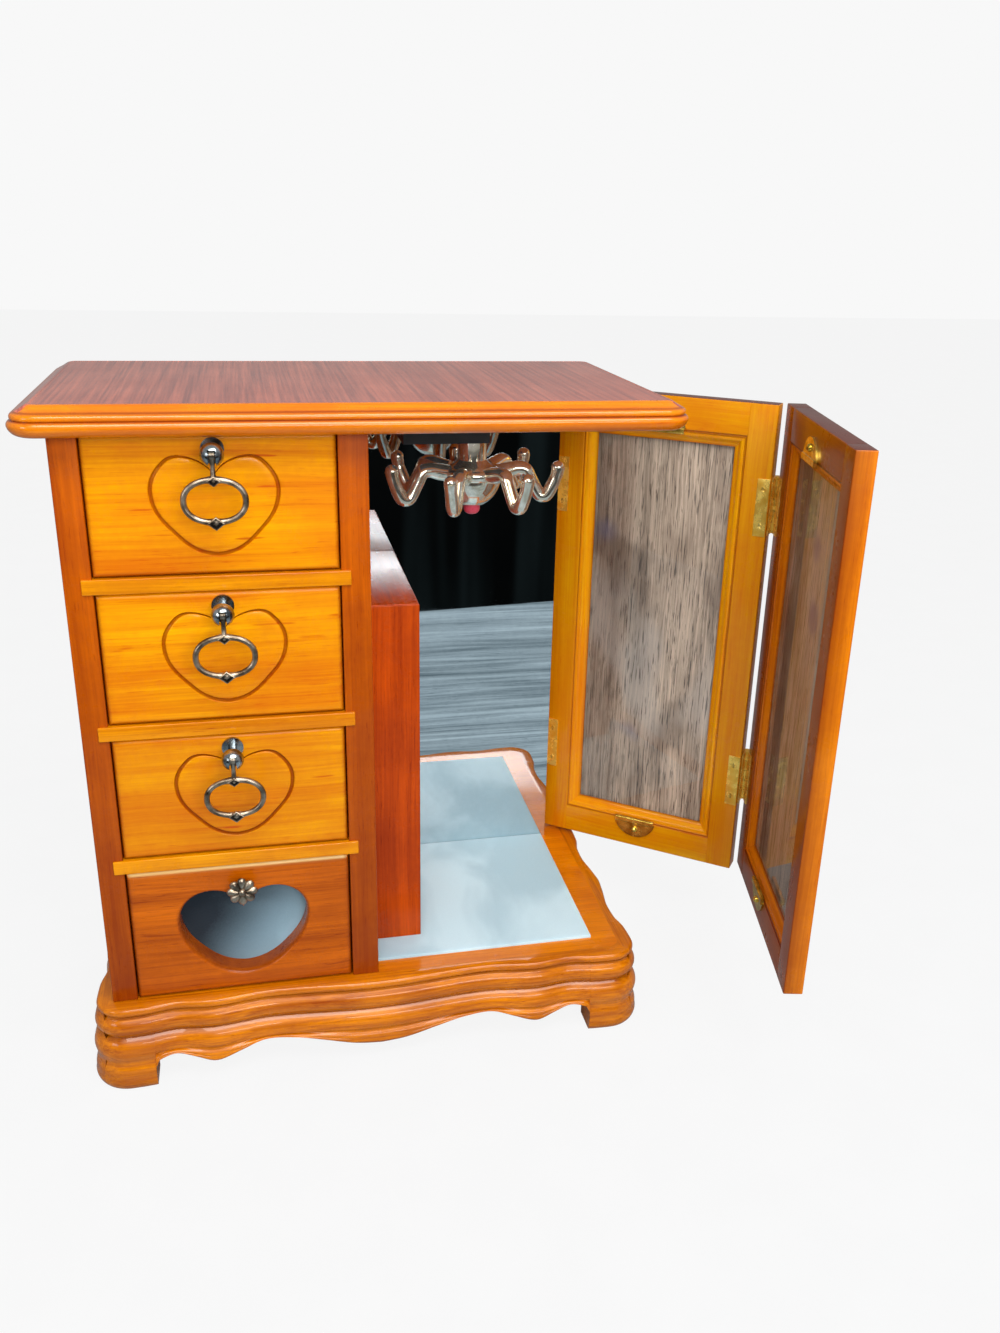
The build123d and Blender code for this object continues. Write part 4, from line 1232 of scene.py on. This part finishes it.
def dark_room(tree):
    """Nearly black, with faint upright folds."""
    drift = noise(tree, object_place(tree), (2.2, 2.2, 3.0), 3.0)
    folds = noise(tree, object_place(tree), (26, 1, 1.5), 2.0)
    dim = mixed(tree, ranged(tree, folds, 0.4, 0.7), rgb(5, 6, 6), rgb(26, 33, 34))
    return mixed(tree, ranged(tree, drift, 0.5, 0.75), dim, rgb(12, 13, 13))


def pale_wall(tree):
    """One even grey."""
    return rgb(158, 152, 150)


def soft_light(tree):
    """Full strength within a quarter of the way out from the card's middle, and gone at its
    rim."""
    centred = add(tree, "VectorMath", {0: object_place(tree), 1: (0.0, 0.62, -0.85)},
                  operation="ADD").outputs[0]
    gone = add(tree, "VectorMath", {0: scaled(tree, centred, (1.5, 2.4, 2.4))},
               operation="LENGTH").outputs["Value"]
    return mixed(tree, ranged(tree, gone, 0.25, 1.0), rgb(255, 244, 220), rgb(0, 0, 0))


def card(name, points, colour, strength=1.0):
    """A glowing plane that only reflections see, so that mirror, metal and lacquer have a room
    to show."""
    material = bpy.data.materials.new(name)
    material.use_nodes = True
    tree = material.node_tree
    tree.nodes.clear()
    glow = add(tree, "Emission", {"Color": colour(tree), "Strength": strength})
    shown(tree, glow.outputs[0])
    obj = plane(name, points, material)
    obj.visible_camera = False
    obj.visible_diffuse = False
    obj.visible_shadow = False
    obj.visible_transmission = False


def studio_world():
    """Near white to the camera and dim to everything else."""
    world = bpy.data.worlds.new("studio")
    bpy.context.scene.world = world
    world.use_nodes = True
    tree = world.node_tree
    tree.nodes.clear()
    path = add(tree, "LightPath").outputs
    seen = math_node(tree, "MAXIMUM", path["Is Camera Ray"], path["Is Transmission Ray"])
    dim = ranged(tree, path["Is Glossy Ray"], 0, 1, 0.40, 0.36, "LINEAR")
    strength = math_node(tree, "MAXIMUM", seen, dim)
    sky = add(tree, "Background", {"Color": rgb(248, 248, 248), "Strength": strength})
    out = tree.nodes.new("ShaderNodeOutputWorld")
    tree.links.new(sky.outputs[0], out.inputs["Surface"])


def stage():
    """The floor, the cards and the world. The table card and the dark card share one edge line,
    which slants away from the case to the right."""
    plane("floor", [(-4, -4, 0), (4, -4, 0), (4, 4, 0), (-4, 4, 0)], pale_floor())
    card("table_card", [(-0.5, -0.312, 0.004), (0.7, -0.429, 0.004), (0.7, -0.013, 0.004),
                        (-0.5, -0.013, 0.004)], greyed_boards)
    card("dark_card", [(-0.6, -0.307, 0.0), (0.9, -0.454, 0.0), (0.9, -0.454, 0.2),
                       (-0.6, -0.307, 0.2)], dark_room)
    card("pale_card", [(-0.9, 0.75, 0.0), (0.9, 0.75, 0.0), (0.9, 0.75, 0.6), (-0.9, 0.75, 0.6)],
         pale_wall)
    card("window_card", [(-0.7, -0.86, 0.52), (0.7, -0.86, 0.52), (0.7, -0.38, 1.18),
                         (-0.7, -0.38, 1.18)], soft_light, 3.4)
    studio_world()


def lamp(name, place, target, size, power):
    """A soft rectangular lamp aimed at a target."""
    data = bpy.data.lights.new(name, "AREA")
    data.shape = "RECTANGLE"
    data.size, data.size_y = size
    data.energy = power
    obj = bpy.data.objects.new(name, data)
    bpy.context.scene.collection.objects.link(obj)
    obj.location = place
    obj.rotation_euler = (Vector(target) - Vector(place)).to_track_quat("-Z", "Y").to_euler()


def lamps():
    """One lamp over the object, one wide one in front, and a weak one from the left."""
    lamp("overhead", (0.2, -0.42, 0.86), (0.12, 0.02, 0.17), (0.75, 0.34), 5.4)
    lamp("front_soft", (0.3, -1.15, 0.62), (0.12, 0.05, 0.15), (0.6, 0.45), 8.0)
    lamp("left_soft", (-0.8, -0.7, 0.5), (0.1, 0.05, 0.15), (0.4, 0.4), 2.2)


def camera():
    """The camera's axes come from its yaw, pitch and roll in degrees, and its place is in
    millimetres."""
    place = Vector((67.8, -432.9, 354.2))
    yaw, pitch, roll = (math.radians(a) for a in (13.571, -21.476, 1.693))
    forward = Vector((math.sin(yaw) * math.cos(pitch), math.cos(yaw) * math.cos(pitch),
                      math.sin(pitch)))
    right = Vector((math.cos(yaw), -math.sin(yaw), 0))
    up = right.cross(forward)
    x = math.cos(roll) * right + math.sin(roll) * up
    y = -math.sin(roll) * right + math.cos(roll) * up
    data = bpy.data.cameras.new("camera")
    data.sensor_fit, data.sensor_width, data.lens = "HORIZONTAL", 36.0, 41.85
    data.shift_x, data.shift_y = -0.0187, 0.0042
    data.clip_start = 0.01
    obj = bpy.data.objects.new("camera", data)
    bpy.context.scene.collection.objects.link(obj)
    obj.matrix_world = Matrix.Translation(place * MM) @ Matrix(
        (x, y, -forward)).transposed().to_4x4()
    bpy.context.scene.camera = obj


lid()
plinth()
case()
floor_pad()
carousel()
drawers()
bails()
flower()
doors()
stage()
lamps()
camera()
bpy.context.scene.view_settings.view_transform = "Standard"
